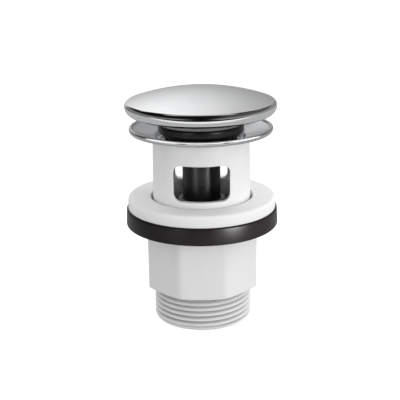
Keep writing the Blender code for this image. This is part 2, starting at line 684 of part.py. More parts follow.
def make_spring_seat(material):
    outer = PLUNGER_BORE - SEAT_GAP
    inner = BASE_PIN_RADIUS + SEAT_GAP
    outline = [
        (outer, SPRING_SEAT_TOP),
        (outer, SPRING_SEAT_BOTTOM),
        (inner, SPRING_SEAT_BOTTOM),
        (inner, SPRING_SEAT_TOP),
    ]
    return turned("spring_seat", outline, SLIM_STEPS, material)


def make_return_spring(material):
    """Compression spring between its seat and the end of the plunger's bore."""
    wire = SPRING_WIRE / 2
    bottom = SPRING_SEAT_TOP + SEAT_GAP + wire
    top = SPRING_BORE_TOP - SEAT_GAP - wire
    points_per_turn = 10
    count = SPRING_TURNS * points_per_turn
    curve = bpy.data.curves.new("return_spring", "CURVE")
    curve.dimensions = "3D"
    curve.bevel_depth = wire
    curve.bevel_resolution = 1
    curve.use_fill_caps = True
    spline = curve.splines.new("POLY")
    spline.points.add(count)
    for index in range(count + 1):
        share = index / count
        angle = math.tau * SPRING_TURNS * share
        climb = share * share * (3 - 2 * share)
        height = bottom + (top - bottom) * climb
        spline.points[index].co = (
            SPRING_RADIUS * math.cos(angle),
            SPRING_RADIUS * math.sin(angle),
            height,
            1.0,
        )
    return link(bpy.data.objects.new("return_spring", curve), PARTS, material)


def make_cartridge_nut(material):
    """Hexagon nut on the housing, under the basket's hub."""
    corner = NUT_ACROSS_FLATS / 2 / math.cos(math.pi / 6)
    outline = [
        (corner - WIDE_EDGE, NUT_TOP),
        (corner, NUT_TOP - WIDE_EDGE),
        (corner, NUT_BOTTOM + WIDE_EDGE),
        (corner - WIDE_EDGE, NUT_BOTTOM),
        (HUB_BORE, NUT_BOTTOM),
        (HUB_BORE, NUT_TOP),
    ]
    nut = turned("cartridge_nut", outline, SLIM_STEPS, material)
    low = NUT_BOTTOM - CUT_MARGIN
    hexagon = prism("nut_hexagon", 6, NUT_ACROSS_FLATS, low, NUT_TOP + CUT_MARGIN)
    combine(nut, hexagon, "INTERSECT")
    return nut


def make_guide_basket(material):
    """Lining ring in the barrel, spokes, and the hub that holds the cartridge."""
    inner = BASKET_RADIUS - BASKET_WALL
    outline = [
        (BASKET_RADIUS - EDGE, BASKET_TOP),
        (BASKET_RADIUS, BASKET_TOP - EDGE),
        (BASKET_RADIUS, BASKET_BOTTOM),
        (inner, BASKET_BOTTOM),
        (inner, BASKET_TOP),
    ]
    basket = turned("guide_basket", outline, WIDE_STEPS, material)
    hub_outline = [
        (HUB_RADIUS - EDGE, HUB_TOP),
        (HUB_RADIUS, HUB_TOP - EDGE),
        (HUB_RADIUS, BASKET_BOTTOM),
        (HUB_BORE, BASKET_BOTTOM),
        (HUB_BORE, HUB_TOP),
    ]
    combine(basket, turned("basket_hub", hub_outline, WIDE_STEPS, None, CUTTERS), "UNION")
    length = inner - HUB_RADIUS + 2 * SPOKE_ROOT
    for index in range(SPOKES):
        size = (length, SPOKE_WIDTH, SPOKE_HEIGHT)
        centre = ((inner + HUB_RADIUS) / 2, 0.0, BASKET_BOTTOM + SPOKE_HEIGHT / 2)
        angle = math.tau * (index + 0.5) / SPOKES
        combine(basket, block(f"spoke_{index}", size, centre, angle), "UNION")
    return basket


def make_flange_cup(material):
    """Chrome dish with a rolled rim, a throat, the valve cone and a skirt in the barrel."""
    crest = (FLANGE_RADIUS - FLANGE_CREST_INSET, FLANGE_CREST)
    outer_side = (FLANGE_RADIUS, FLANGE_SEAT + 0.6 * FLANGE_RIM_HEIGHT)
    seat_outer = FLANGE_RADIUS - FLANGE_SEAT_INSET
    seat_inner = seat_outer - FLANGE_SEAT_WIDTH
    dish_underside = THROAT_LIP - CUP_SHEET
    fillet_out, fillet_down = CUP_NECK_FILLET
    outline = arc(crest, outer_side, FLANGE_CREST_BULGE, 2)
    outline += [
        (FLANGE_RADIUS, FLANGE_SEAT + 0.35 * FLANGE_RIM_HEIGHT),
        (seat_outer, FLANGE_SEAT),
        (seat_inner, FLANGE_SEAT),
        (CUP_NECK_RADIUS + fillet_out, dish_underside),
        (CUP_NECK_RADIUS, dish_underside - fillet_down),
        (CUP_NECK_RADIUS, CUP_NECK_BOTTOM),
        (SKIRT_RADIUS, CUP_NECK_BOTTOM),
        (SKIRT_RADIUS, SKIRT_BOTTOM),
        (VALVE_BORE_RADIUS, SKIRT_BOTTOM),
        (VALVE_BORE_RADIUS, VALVE_CONE_BOTTOM),
        (THROAT_RADIUS, VALVE_CONE_TOP),
    ]
    throat_edge = (THROAT_RADIUS, THROAT_LIP - THROAT_LIP_HEIGHT)
    outline += arc(throat_edge, (THROAT_LIP_RADIUS, THROAT_LIP), THROAT_LIP_BULGE, 3)
    dish_edge = (DISH_EDGE_RADIUS - EDGE, DISH_EDGE)
    shoulder_in, shoulder_down = FLANGE_SHOULDER
    rim_shoulder = (crest[0] - shoulder_in, FLANGE_CREST - shoulder_down)
    outline += arc(dish_edge, rim_shoulder, -DISH_EDGE_HOLLOW, 2)
    return turned("flange_cup", outline, WIDE_STEPS, material)


def make_cup_o_ring(material):
    """Round ring between the cup's skirt and the barrel's counterbore."""
    bpy.ops.mesh.primitive_torus_add(
        major_radius=(SKIRT_RADIUS + COUNTERBORE_RADIUS) / 2,
        minor_radius=O_RING_SECTION / 2,
        major_segments=WIDE_STEPS,
        minor_segments=6,
        location=(0.0, 0.0, O_RING_TOP - O_RING_SECTION / 2),
    )
    ring = bpy.context.object
    ring.name = "cup_o_ring"
    move_to(ring, PARTS)
    ring.data.materials.append(material)
    return ring


def make_barrel(material):
    """Slotted tube: counterbore for the cup at the top, ledge for the basket inside."""
    draft_bottom = BARREL_TOP - BARREL_DRAFT_HEIGHT
    ledge = BASKET_BOTTOM - SEAT_GAP
    lower_bore = BARREL_BORE - BARREL_LEDGE
    outline = [
        (BARREL_TOP_RADIUS, BARREL_TOP),
        (BARREL_RADIUS, draft_bottom),
        (BARREL_RADIUS, BARREL_BOTTOM + BARREL_END_CHAMFER),
        (BARREL_RADIUS - BARREL_END_CHAMFER, BARREL_BOTTOM),
        (lower_bore, BARREL_BOTTOM),
        (lower_bore, ledge),
        (BARREL_BORE, ledge),
        (BARREL_BORE, COUNTERBORE_BOTTOM),
        (COUNTERBORE_RADIUS, COUNTERBORE_BOTTOM),
        (COUNTERBORE_RADIUS, BARREL_TOP),
    ]
    barrel = turned("barrel", outline, WIDE_STEPS, material)
    size = (WINDOW_WIDTH, 3 * BARREL_RADIUS, WINDOW_HEIGHT)
    window = block("overflow_windows", size, (0.0, 0.0, (WINDOW_BOTTOM + WINDOW_TOP) / 2))
    round_edges_along(window, 1, WINDOW_CORNER_RADIUS, WINDOW_CORNER_STEPS)
    combine(barrel, window, "DIFFERENCE")
    return barrel


def ring_outline(outer, inner, bottom, top, draft, rounding):
    """Outline of a thick ring with a rounded upper edge and a small lower chamfer."""
    top_outer = outer - draft
    outline = rounded((top_outer, top), (top_outer - rounding, top), (top_outer, top - rounding))
    outline += [
        (outer, bottom + SMALL_EDGE),
        (outer - SMALL_EDGE, bottom),
        (inner, bottom),
        (inner, top),
    ]
    return outline


def make_clamp_washer(material):
    outline = ring_outline(WASHER_RADIUS, WASHER_BORE, WASHER_BOTTOM, WASHER_TOP,
                           0.0, WASHER_ROUNDING)
    return turned("clamp_washer", outline, WIDE_STEPS, material)


def make_clamp_gasket(material):
    outline = ring_outline(GASKET_RADIUS, GASKET_BORE, GASKET_BOTTOM, GASKET_TOP,
                           GASKET_DRAFT, GASKET_ROUNDING)
    return turned("clamp_gasket", outline, WIDE_STEPS, material)


def make_tailpiece(material):
    """Octagon with a socket for the barrel above and the outlet thread below."""
    corner = OCTAGON_ACROSS_FLATS / 2 / math.cos(math.pi / OCTAGON_SIDES)
    outline = [
        (COLLAR_RADIUS - SMALL_EDGE, TAIL_TOP),
        (COLLAR_RADIUS, TAIL_TOP - SMALL_EDGE),
        (COLLAR_RADIUS, OCTAGON_TOP),
        (corner, OCTAGON_TOP),
        (corner, OCTAGON_BOTTOM + OCTAGON_CHAMFER_HEIGHT),
        (OCTAGON_ACROSS_FLATS / 2 - OCTAGON_CHAMFER_INSET, OCTAGON_BOTTOM),
        (THREAD_RADIUS - RELIEF_DEPTH, OCTAGON_BOTTOM),
        (THREAD_RADIUS - RELIEF_DEPTH, THREAD_LENGTH + WIDE_EDGE),
        (THREAD_RADIUS, THREAD_LENGTH - THREAD_SHOULDER),
        (THREAD_RADIUS, THREAD_CHAMFER),
        (THREAD_RADIUS - THREAD_CHAMFER, 0.0),
        (OUTLET_BORE_RADIUS, 0.0),
        (OUTLET_BORE_RADIUS, SOCKET_FLOOR),
        (SOCKET_RADIUS, SOCKET_FLOOR),
        (SOCKET_RADIUS, TAIL_TOP - SOCKET_MOUTH_CHAMFER),
        (SOCKET_RADIUS + SOCKET_MOUTH_CHAMFER, TAIL_TOP),
    ]
    tail = turned("tailpiece", outline, WIDE_STEPS, material)
    octagon = prism("octagon", OCTAGON_SIDES, OCTAGON_ACROSS_FLATS,
                    OCTAGON_BOTTOM - CUT_MARGIN, OCTAGON_TOP + CUT_MARGIN)
    corner_width = OCTAGON_CORNER_RADIUS * math.tan(math.pi / OCTAGON_SIDES)
    round_edges_along(octagon, 2, corner_width, 3)
    bpy.ops.mesh.primitive_cylinder_add(
        vertices=WIDE_STEPS,
        radius=corner + 3 * CUT_MARGIN,
        depth=OCTAGON_HEIGHT,
        location=(0.0, 0.0, (OCTAGON_TOP + OCTAGON_BOTTOM) / 2),
    )
    waste_round = bpy.context.object
    waste_round.name = "round_outside_octagon"
    move_to(waste_round, CUTTERS)
    combine(waste_round, octagon, "DIFFERENCE")
    combine(tail, waste_round, "DIFFERENCE")
    return tail


def make_tail_seal(material):
    outer = SOCKET_RADIUS - SEAT_GAP
    inner = OUTLET_BORE_RADIUS + TAIL_SEAL_INSET
    outline = [
        (outer, TAIL_SEAL_TOP),
        (outer, TAIL_SEAL_BOTTOM),
        (inner, TAIL_SEAL_BOTTOM),
        (inner, TAIL_SEAL_TOP),
    ]
    return turned("tail_seal", outline, WIDE_STEPS, material)


def carry(name, height, pieces, parent=None, parent_height=0.0):
    """An empty on the joint's axis that carries the pieces of one moving body."""
    empty = bpy.data.objects.new(name, None)
    empty.parent = parent
    empty.location = (0.0, 0.0, height - parent_height)
    PARTS.objects.link(empty)
    for piece in pieces:
        piece.parent = empty
        piece.location.z -= height
    return empty


def finish_meshes(pieces):
    """Turns each piece's modifiers or curve into a mesh with smooth faces and crisp edges."""
    bpy.context.view_layer.update()
    graph = bpy.context.evaluated_depsgraph_get()
    meshes = {piece: bpy.data.meshes.new_from_object(piece.evaluated_get(graph)) for piece in pieces}
    for piece, mesh in meshes.items():
        weld_caps(mesh)
        mesh.shade_smooth()
        mesh.set_sharp_from_angle(angle=math.radians(30.0))
        if piece.type == "CURVE":
            solid = bpy.data.objects.new("solid", mesh)
            PARTS.objects.link(solid)
            name = piece.name
            bpy.data.objects.remove(piece, do_unlink=True)
            solid.name = name
        else:
            piece.modifiers.clear()
            piece.data = mesh


def weld_caps(mesh):
    build = bmesh.new()
    build.from_mesh(mesh)
    bmesh.ops.remove_doubles(build, verts=build.verts, dist=0.000001)
    build.to_mesh(mesh)
    build.free()


def main():
    chrome = new_material("chrome", (0.78, 0.79, 0.80), 0.08, 1.0)
    steel = new_material("steel", (0.62, 0.62, 0.63), 0.28, 1.0)
    brass = new_material("brass", (0.72, 0.56, 0.30), 0.3, 1.0)
    white = new_material("white_plastic", (0.83, 0.84, 0.84), 0.42)
    ring_white = new_material("ring_white", (0.88, 0.88, 0.87), 0.55)
    black = new_material("black_plastic", (0.02, 0.02, 0.022), 0.35)
    rubber = new_material("black_rubber", (0.03, 0.026, 0.025), 0.65)

    make_flange_cup(chrome)
    make_cup_o_ring(rubber)
    make_barrel(white)
    make_guide_basket(black)
    make_cartridge_housing(black)
    make_cartridge_collar(black)
    make_cartridge_base(black)
    make_spring_seat(steel)
    make_return_spring(steel)
    make_cartridge_nut(brass)

    plug = [
        make_plug_cap(chrome),
        make_cap_insert(black),
        make_plug_stud(steel),
        make_plug_seal(rubber),
        make_seal_retainer(black),
        make_plunger(black),
    ]
    cam = [make_cam_ring(white)]
    rings = [make_clamp_washer(ring_white), make_clamp_gasket(rubber)]
    tail = [make_tailpiece(white), make_tail_seal(rubber)]

    carry("plug_axis", PLUNGER_TOP, plug)
    carry("cam_axis", CAM_LUG_MIDDLE, cam)
    ring_axis = carry("clamp_axis", GASKET_BOTTOM, rings)
    carry("tail_axis", TAIL_TOP, tail, ring_axis, GASKET_BOTTOM)

    finish_meshes([obj for obj in PARTS.objects if obj.type in {"MESH", "CURVE"}])


main()
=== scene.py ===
"""Looks of the push-open basin waste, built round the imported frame.

Radii and levels come from the frame's boxes. What a box can't say, such as a wall or a fillet, is a
named value. All of them are in millimetres, and the meshes are scaled to metres as they are built.
"""

import math
from collections import namedtuple

import bmesh
import bpy
from mathutils import Matrix, Vector


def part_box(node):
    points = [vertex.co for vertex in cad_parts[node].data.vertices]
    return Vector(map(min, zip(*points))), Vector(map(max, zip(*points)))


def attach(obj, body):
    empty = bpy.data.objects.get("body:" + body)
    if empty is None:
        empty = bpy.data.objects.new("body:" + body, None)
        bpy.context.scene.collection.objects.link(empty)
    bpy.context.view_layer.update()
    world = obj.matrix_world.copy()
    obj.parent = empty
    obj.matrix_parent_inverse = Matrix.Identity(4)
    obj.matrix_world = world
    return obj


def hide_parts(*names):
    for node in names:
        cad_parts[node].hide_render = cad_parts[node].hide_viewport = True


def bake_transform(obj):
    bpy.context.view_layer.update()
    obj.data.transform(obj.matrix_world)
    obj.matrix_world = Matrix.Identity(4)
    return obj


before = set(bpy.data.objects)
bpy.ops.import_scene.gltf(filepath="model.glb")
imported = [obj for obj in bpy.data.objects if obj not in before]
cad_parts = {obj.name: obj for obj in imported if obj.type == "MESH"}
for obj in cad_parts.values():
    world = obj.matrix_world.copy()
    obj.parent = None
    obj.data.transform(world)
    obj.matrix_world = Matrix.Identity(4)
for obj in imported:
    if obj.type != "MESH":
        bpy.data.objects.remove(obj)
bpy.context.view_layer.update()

MM = 0.001

# Facets round a full turn, and along an arc
COLUMNS = 160
FLAT_COLUMNS = 16            # across one side of the octagon
CORNER_COLUMNS = 8           # round one corner of the octagon
ARC_STEPS = 5                # round a fillet
BULGE_STEPS = 8              # along a long bulged edge
DOME_RINGS = 40
BOWL_RINGS = 12
RIM_RINGS = 18
DISH_RINGS = 5
AXIS_RADIUS = 1e-6           # a ring smaller than this is one point on the axis

# Camera, fitted to the rings' ellipses in the photograph
CAMERA_DISTANCE = 380.0
CAMERA_ELEVATION = math.radians(17.52)
CAMERA_ROLL = math.radians(-0.74)
CAMERA_AIM = (-0.76, 0.0, 51.0)
CAMERA_LENS = 80.28
CAMERA_SENSOR = 36.0

# Cap
CAP_DOME_RISE = 5.25
CAP_DOME_INSET = 0.9
CAP_RIM_HEIGHT = 1.95
CAP_RIM_BULGE = 0.25
CAP_RIM_ROUNDING = 3.6
CAP_RIM_TURN = math.radians(72.0)
CAP_UNDERSIDE_HEIGHT = 5.2
CAP_UNDERSIDE_WIDTH = 8.9
CAP_RECESS_EDGE = 0.8
CAP_THICKNESS = 2.2
DOME_EDGE_RINGS = (0.33, 0.25)     # inside the dome's edge, close together to keep it crisp
CAP_EDGE_DROP = 0.12               # from the dome's level to where the rim's face starts
CAP_RIDGE = ((0.25, 0.07), (-0.2, 0.06))     # outward and upward, round the underside's recess
SEAL_LIP_HEIGHT = 3.5
SEAL_BORE = 6.6
RETAINER_WALL = 1.4
RETAINER_PLATE = 2.0
RETAINER_BOSS = 6.3
STUD_BORE = 3.3
SEAT_GAP = 0.3

# Flange cup
CLAMPED_DEPTH = 27.6         # from the washer to the flange's seat
FLANGE_CREST_INSET = 0.75
FLANGE_CREST_DROP = 0.86
CREST_BULGE = 0.2
CREST_INSIDE = ((0.5, 0.25), (0.22, 0.04))     # inward and down, from the crest to the dish
DISH_SAG = 0.12
DISH_INSET = 1.8
DISH_DROP = 1.2
DISH_FALL = 2.1
THROAT_LIP_WIDTH = 1.6
THROAT_LIP_HEIGHT = 1.4
THROAT_CLEARANCE = 0.45
CUP_NECK_WALL = 0.7
CUP_SHEET = 0.85
VALVE_BORE_INSET = 1.3
VALVE_CONE_HEIGHT = 1.55
SKIRT_LENGTH = 2.4
SKIRT_WALL = 1.3

# Barrel
BARREL_WALL = 2.35
BARREL_LEDGE = 1.2
BARREL_END_CHAMFER = 0.8
BARREL_TOP_DRAFT = 0.35
BARREL_DRAFT_HEIGHT = 16.0
BARREL_COUNTERBORE_WALL = 0.85
BARREL_COUNTERBORE_DEPTH = 5.75
WINDOW_HALF_WIDTH = 11.4
WINDOW_HEIGHT = 14.9
WINDOW_SILL = 2.2
WINDOW_CORNER = 3.0
WINDOW_FILLET = 0.45
WINDOW_MARGIN = 2.0
WINDOW_ROW = 0.5
CLAMP_THREAD_PITCH = 2.0
CLAMP_THREAD_DEPTH = 0.85
CLAMP_THREAD_TOP = 50.5
CLAMP_THREAD_REACH = 0.9     # points of the outline further in than this stay as they are

# Clamping rings, which rest on one another here
RING_CONTACT = 0.04
WASHER_OVERSIZE = 0.2
WASHER_CLEARANCE = 1.1
GASKET_CLEARANCE = 0.3
GASKET_DRAFT = 0.3

# Cartridge
PLUNGER_BORE = 5.5
SPRING_WIRE = 0.8
SPRING_TURNS = 7
SPRING_STEPS = 24            # along one turn
SPRING_SIDES = 10            # round the wire

# Tailpiece
OCTAGON_SIDES = 8
OCTAGON_ACROSS_FLATS = 46.0
OCTAGON_CORNER = 4.0
OCTAGON_BOTTOM = 14.7
OCTAGON_CHAMFER = (2.1, 0.5)   # inward and up
OCTAGON_ROW = 3.0
CHAMFER_ROW = 0.1
COLLAR_HEIGHT = 1.0
THREAD_RADIUS = 20.955
THREAD_PITCH = 2.309
THREAD_DEPTH = 1.45
THREAD_TOP = 12.9
THREAD_CHAMFER = 0.7
THREAD_PHASE = -0.13
THREAD_START = (0.3, 1.3)      # levels between which the groove deepens from nothing
THREAD_RUNOUT = (0.6, 1.5)     # how far below its top the thread starts to sink, and how steeply
RELIEF_DEPTH = 1.3
RELIEF_EDGE = 0.3
OUTLET_CHAMFER = 0.3
OUTLET_WALL = 3.555
SOCKET_WALL = 2.15
SOCKET_CHAMFER = 0.6
SOCKET_FLOOR = 18.3
ROWS_PER_PITCH = 14
# Painted shade: a grey that darkens the tailpiece's thread roots and the groove under the octagon,
# where shade falls
ROOT_PAINTED_SHADE = (0.42, 0.42, 0.415)
UNSHADED_CREST = 0.25           # depth under the thread's crest at which its painted shade begins

Extent = namedtuple("Extent", "radius bottom top")


def extent(node):
    """Radius and levels of a CAD node in millimetres."""
    low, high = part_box(node)
    return Extent(high.x / MM, low.z / MM, high.z / MM)


def turn_between(start, end, share):
    """The vector start, turned towards end by share of the angle between them."""
    angle = start.angle(end)
    first = math.sin((1 - share) * angle) * start
    second = math.sin(share * angle) * end
    return (first + second) / math.sin(angle)


def filleted(corners, steps=ARC_STEPS):
    """(r, z) outline from (r, z, fillet) corners, each turned into an arc of its fillet. An open
    stretch of outline starts and ends in corners with a fillet of 0."""
    points = []
    count = len(corners)
    for index, (radius, height, fillet) in enumerate(corners):
        here = Vector((radius, height))
        if fillet == 0:
            points.append(here)
            continue
        back = Vector(corners[index - 1][:2]) - here
        ahead = Vector(corners[(index + 1) % count][:2]) - here
        half = back.angle(ahead) / 2
        reach = min(fillet / math.tan(half), 0.49 * back.length, 0.49 * ahead.length)
        bisector = (back.normalized() + ahead.normalized()).normalized()
        centre = here + bisector * reach / math.cos(half)
        start = here + back.normalized() * reach - centre
        end = here + ahead.normalized() * reach - centre
        for step in range(steps + 1):
            points.append(centre + turn_between(start, end, step / steps))
    return [(point.x, point.y) for point in points]


def arc(start, end, bulge, steps):
    """Points from start to end on an arc that stands bulge to the left of the way."""
    start = Vector(start)
    end = Vector(end)
    chord = end - start
    left = Vector((-chord.y, chord.x)).normalized() * math.copysign(1.0, bulge)
    radius = (chord.length ** 2 / 4 + bulge ** 2) / (2 * abs(bulge))
    centre = (start + end) / 2 - left * (radius - abs(bulge))
    points = []
    for step in range(steps + 1):
        point = centre + turn_between(start - centre, end - centre, step / steps)
        points.append((point.x, point.y))
    return points


def dome_height(radius, top, sphere):
    return top - sphere + math.sqrt(sphere ** 2 - radius ** 2)


def dome(rim_radius, top, sphere, steps):
    """Points of a dome from its top on the axis down to rim_radius."""
    radii = [rim_radius * step / steps for step in range(steps + 1)]
    return [(radius, dome_height(radius, top, sphere)) for radius in radii]


def even_angles(count=COLUMNS):
    return [math.tau * index / count for index in range(count)]


def lathe_mesh(build, outline, angles, shape=None):
    """Turns an (r, z) outline about the axis in bmesh build. shape(r, z, angle) may bend a ring."""
    rings = []
    for radius, height in outline:
        if radius < AXIS_RADIUS:
            rings.append([build.verts.new((0.0, 0.0, height * MM))])
            continue
        ring = []
        for angle in angles:
            reach = shape(radius, height, angle) if shape else radius
            place = (reach * math.cos(angle), reach * math.sin(angle), height)
            ring.append(build.verts.new(Vector(place) * MM))
        rings.append(ring)
    closed = not (len(rings[0]) == 1 and len(rings[-1]) == 1)
    pairs = list(zip(rings, rings[1:]))
    if closed:
        pairs.append((rings[-1], rings[0]))
    for upper, lower in pairs:
        join_rings(build, upper, lower)


def join_rings(build, upper, lower):
    count = max(len(upper), len(lower))
    for index in range(count):
        after = (index + 1) % count
        if len(upper) == 1:
            build.faces.new((upper[0], lower[index], lower[after]))
        elif len(lower) == 1:
            build.faces.new((upper[index], lower[0], upper[after]))
        else:
            build.faces.new((upper[index], lower[index], lower[after], upper[after]))


def finished(name, build, smooth_angle=40.0):
    """Object from a bmesh, with smooth faces that break only at real edges."""
    bmesh.ops.recalc_face_normals(build, faces=build.faces)
    mesh = bpy.data.meshes.new(name)
    build.to_mesh(mesh)
    build.free()
    mesh.shade_smooth()
    mesh.set_sharp_from_angle(angle=math.radians(smooth_angle))
    obj = bpy.data.objects.new(name, mesh)
    bpy.context.scene.collection.objects.link(obj)
    return obj


def lathe(name, outline, shape=None, angles=None):
    build = bmesh.new()
    lathe_mesh(build, outline, angles or even_angles(), shape)
    return finished(name, build)


def place(obj, node, body, slot, material):
    """Gives a piece its material, hides the CAD node that it stands for and hangs it on the body that
    carries it.
    """
    obj.data.materials.append(material)
    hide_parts(node)
    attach(obj, body)
    return obj


# Threads

def thread_wave(height, angle, pitch, phase=0.0):
    """0 on a right-hand thread's crest and 1 in its root, with both rounded."""
    turn = (height / pitch - angle / math.tau + phase) % 1.0
    ramp = abs(2 * turn - 1)
    return 1 - (0.6 * ramp + 0.4 * ramp * ramp * (3 - 2 * ramp))


def rows_between(start, end, spacing):
    """Levels from start to end, both included, no further apart than spacing."""
    count = max(1, math.ceil(abs(end - start) / spacing))
    return [start + (end - start) * index / count for index in range(count + 1)]


# Plug

def cap_sphere():
    radius = extent("plug_cap").radius - CAP_DOME_INSET
    return (radius ** 2 + CAP_DOME_RISE ** 2) / (2 * CAP_DOME_RISE)


def make_cap(material):
    cap = extent("plug_cap")
    sphere = cap_sphere()
    widest = cap.bottom + CAP_UNDERSIDE_HEIGHT
    rim_top = widest + CAP_RIM_HEIGHT
    dome_radius = cap.radius - CAP_DOME_INSET
    lowest_radius = cap.radius - CAP_UNDERSIDE_WIDTH
    recess_radius = lowest_radius - CAP_RECESS_EDGE
    inner_ring, outer_ring = (dome_radius - inset for inset in DOME_EDGE_RINGS)
    outline = dome(inner_ring, cap.top, sphere, DOME_RINGS)
    outline.append((outer_ring, dome_height(outer_ring, cap.top, sphere)))
    rim_start = (dome_radius, rim_top - CAP_EDGE_DROP)
    outline += arc(rim_start, (cap.radius, widest), CAP_RIM_BULGE, BULGE_STEPS)
    for step in range(1, RIM_RINGS + 1):
        turn = CAP_RIM_TURN * step / RIM_RINGS
        inward = CAP_RIM_ROUNDING * (1 - math.cos(turn))
        outline.append((cap.radius - inward, widest - CAP_RIM_ROUNDING * math.sin(turn)))
    outline += [(lowest_radius + outward, cap.bottom + up) for outward, up in CAP_RIDGE]
    outline.append((recess_radius, cap.bottom + CAP_RECESS_EDGE / 2))
    outline += reversed(dome(recess_radius, cap.top - CAP_THICKNESS, sphere, BOWL_RINGS))
    obj = lathe("plug_cap_detail", outline)
    return place(obj, "plug_cap", "plug", "chrome", material)


def make_seal(material):
    seal = extent("plug_seal")
    retainer = extent("seal_retainer")
    lip_bottom = seal.top - SEAL_LIP_HEIGHT
    outline = filleted([
        (seal.radius, seal.top, 1.0),
        (seal.radius, lip_bottom + 0.5, 0.3),
        (seal.radius - 0.4, lip_bottom, 0.3),
        (retainer.radius + 0.9, seal.bottom + 0.1, 0.2),
        (retainer.radius, seal.bottom, 0.1),
        (SEAL_BORE, seal.bottom, 0.1),
        (SEAL_BORE, seal.top, 0.2),
    ])
    obj = lathe("plug_seal_detail", outline)
    return place(obj, "plug_seal", "plug", "black_rubber", material)


def make_retainer(material):
    retainer = extent("seal_retainer")
    shelf = extent("plug_seal").bottom - SEAT_GAP
    inner = retainer.radius - RETAINER_WALL
    plate_bottom = shelf - RETAINER_PLATE
    outline = filleted([
        (RETAINER_BOSS, retainer.top, 0.3),
        (RETAINER_BOSS, shelf, 0.2),
        (retainer.radius, shelf, 0.5),
        (retainer.radius - 0.3, retainer.bottom, 0.6),
        (inner, retainer.bottom, 0.3),
        (inner, plate_bottom, 0.6),
        (STUD_BORE, plate_bottom, 0.2),
        (STUD_BORE, retainer.top, 0.2),
    ])
    obj = lathe("seal_retainer_detail", outline)
    return place(obj, "seal_retainer", "plug", "black_plastic", material)


# Flange cup

def make_flange(material):
    cup = extent("flange_cup")
    seal = extent("plug_seal")
    seat = extent("clamp_washer").top + CLAMPED_DEPTH
    dish_edge = cup.top - DISH_DROP
    throat = seal.radius + THROAT_CLEARANCE
    lip = dish_edge - DISH_FALL
    neck = throat + CUP_NECK_WALL
    valve_bore = seal.radius - VALVE_BORE_INSET
    cone_bottom = cup.bottom + SKIRT_LENGTH
    cone_top = cone_bottom + VALVE_CONE_HEIGHT
    underside = lip - CUP_SHEET
    crest_radius = cup.radius - FLANGE_CREST_INSET
    crest_end = (cup.radius, cup.top - FLANGE_CREST_DROP)
    outline = arc((crest_radius, cup.top), crest_end, CREST_BULGE, BULGE_STEPS)
    outline += filleted([
        (cup.radius, seat + 0.9, 0),
        (cup.radius - 0.5, seat, 0.3),
        (cup.radius - 2.5, seat, 0.6),
        (neck + 1.0, underside, 0.8),
        (neck, underside - 0.4, 0.2),
        (neck, cone_bottom - SEAT_GAP, 0.2),
        (valve_bore + SKIRT_WALL, cone_bottom - SEAT_GAP, 0.1),
        (valve_bore + SKIRT_WALL, cup.bottom, 0.3),
        (valve_bore, cup.bottom, 0.3),
        (valve_bore, cone_bottom, 0.2),
        (throat, cone_top, 0),
    ])
    lip_end = (throat + THROAT_LIP_WIDTH, lip)
    outline += arc((throat, lip - THROAT_LIP_HEIGHT), lip_end, CREST_BULGE, BULGE_STEPS)
    dish_start = (cup.radius - DISH_INSET, dish_edge)
    dish_end, crest_start = ((crest_radius - inward, cup.top - drop) for inward, drop in CREST_INSIDE)
    outline += arc(dish_start, dish_end, -DISH_SAG, DISH_RINGS)
    outline.append(crest_start)
    obj = lathe("flange_cup_detail", outline)
    return place(obj, "flange_cup", "waste_body", "chrome", material)


# Barrel with its two windows

def window_offset(across, up, offset):
    """Where the ray from the window's middle through (across, up) meets its rounded outline,
    grown by offset."""
    half_width = WINDOW_HALF_WIDTH + offset
    half_height = WINDOW_HEIGHT / 2 + offset
    corner = WINDOW_CORNER + offset
    ray = Vector((across, up))
    scale = min(half_width / max(abs(ray.x), 1e-9), half_height / max(abs(ray.y), 1e-9))
    hit = ray * scale
    inner = Vector((half_width - corner, half_height - corner))
    if abs(hit.x) > inner.x and abs(hit.y) > inner.y:
        unit = Vector((abs(ray.x), abs(ray.y))).normalized()
        along = unit.dot(inner)
        reach = along + math.sqrt(max(0.0, along ** 2 - inner.length_squared + corner ** 2))
        hit = ray.normalized() * reach
    return hit


def window_rows(window_bottom):
    """Levels of the rows in the windows' zone, top to bottom, with one on each edge of it."""
    low = window_bottom - WINDOW_MARGIN
    high = window_bottom + WINDOW_HEIGHT + WINDOW_MARGIN
    return rows_between(high, low, WINDOW_ROW)


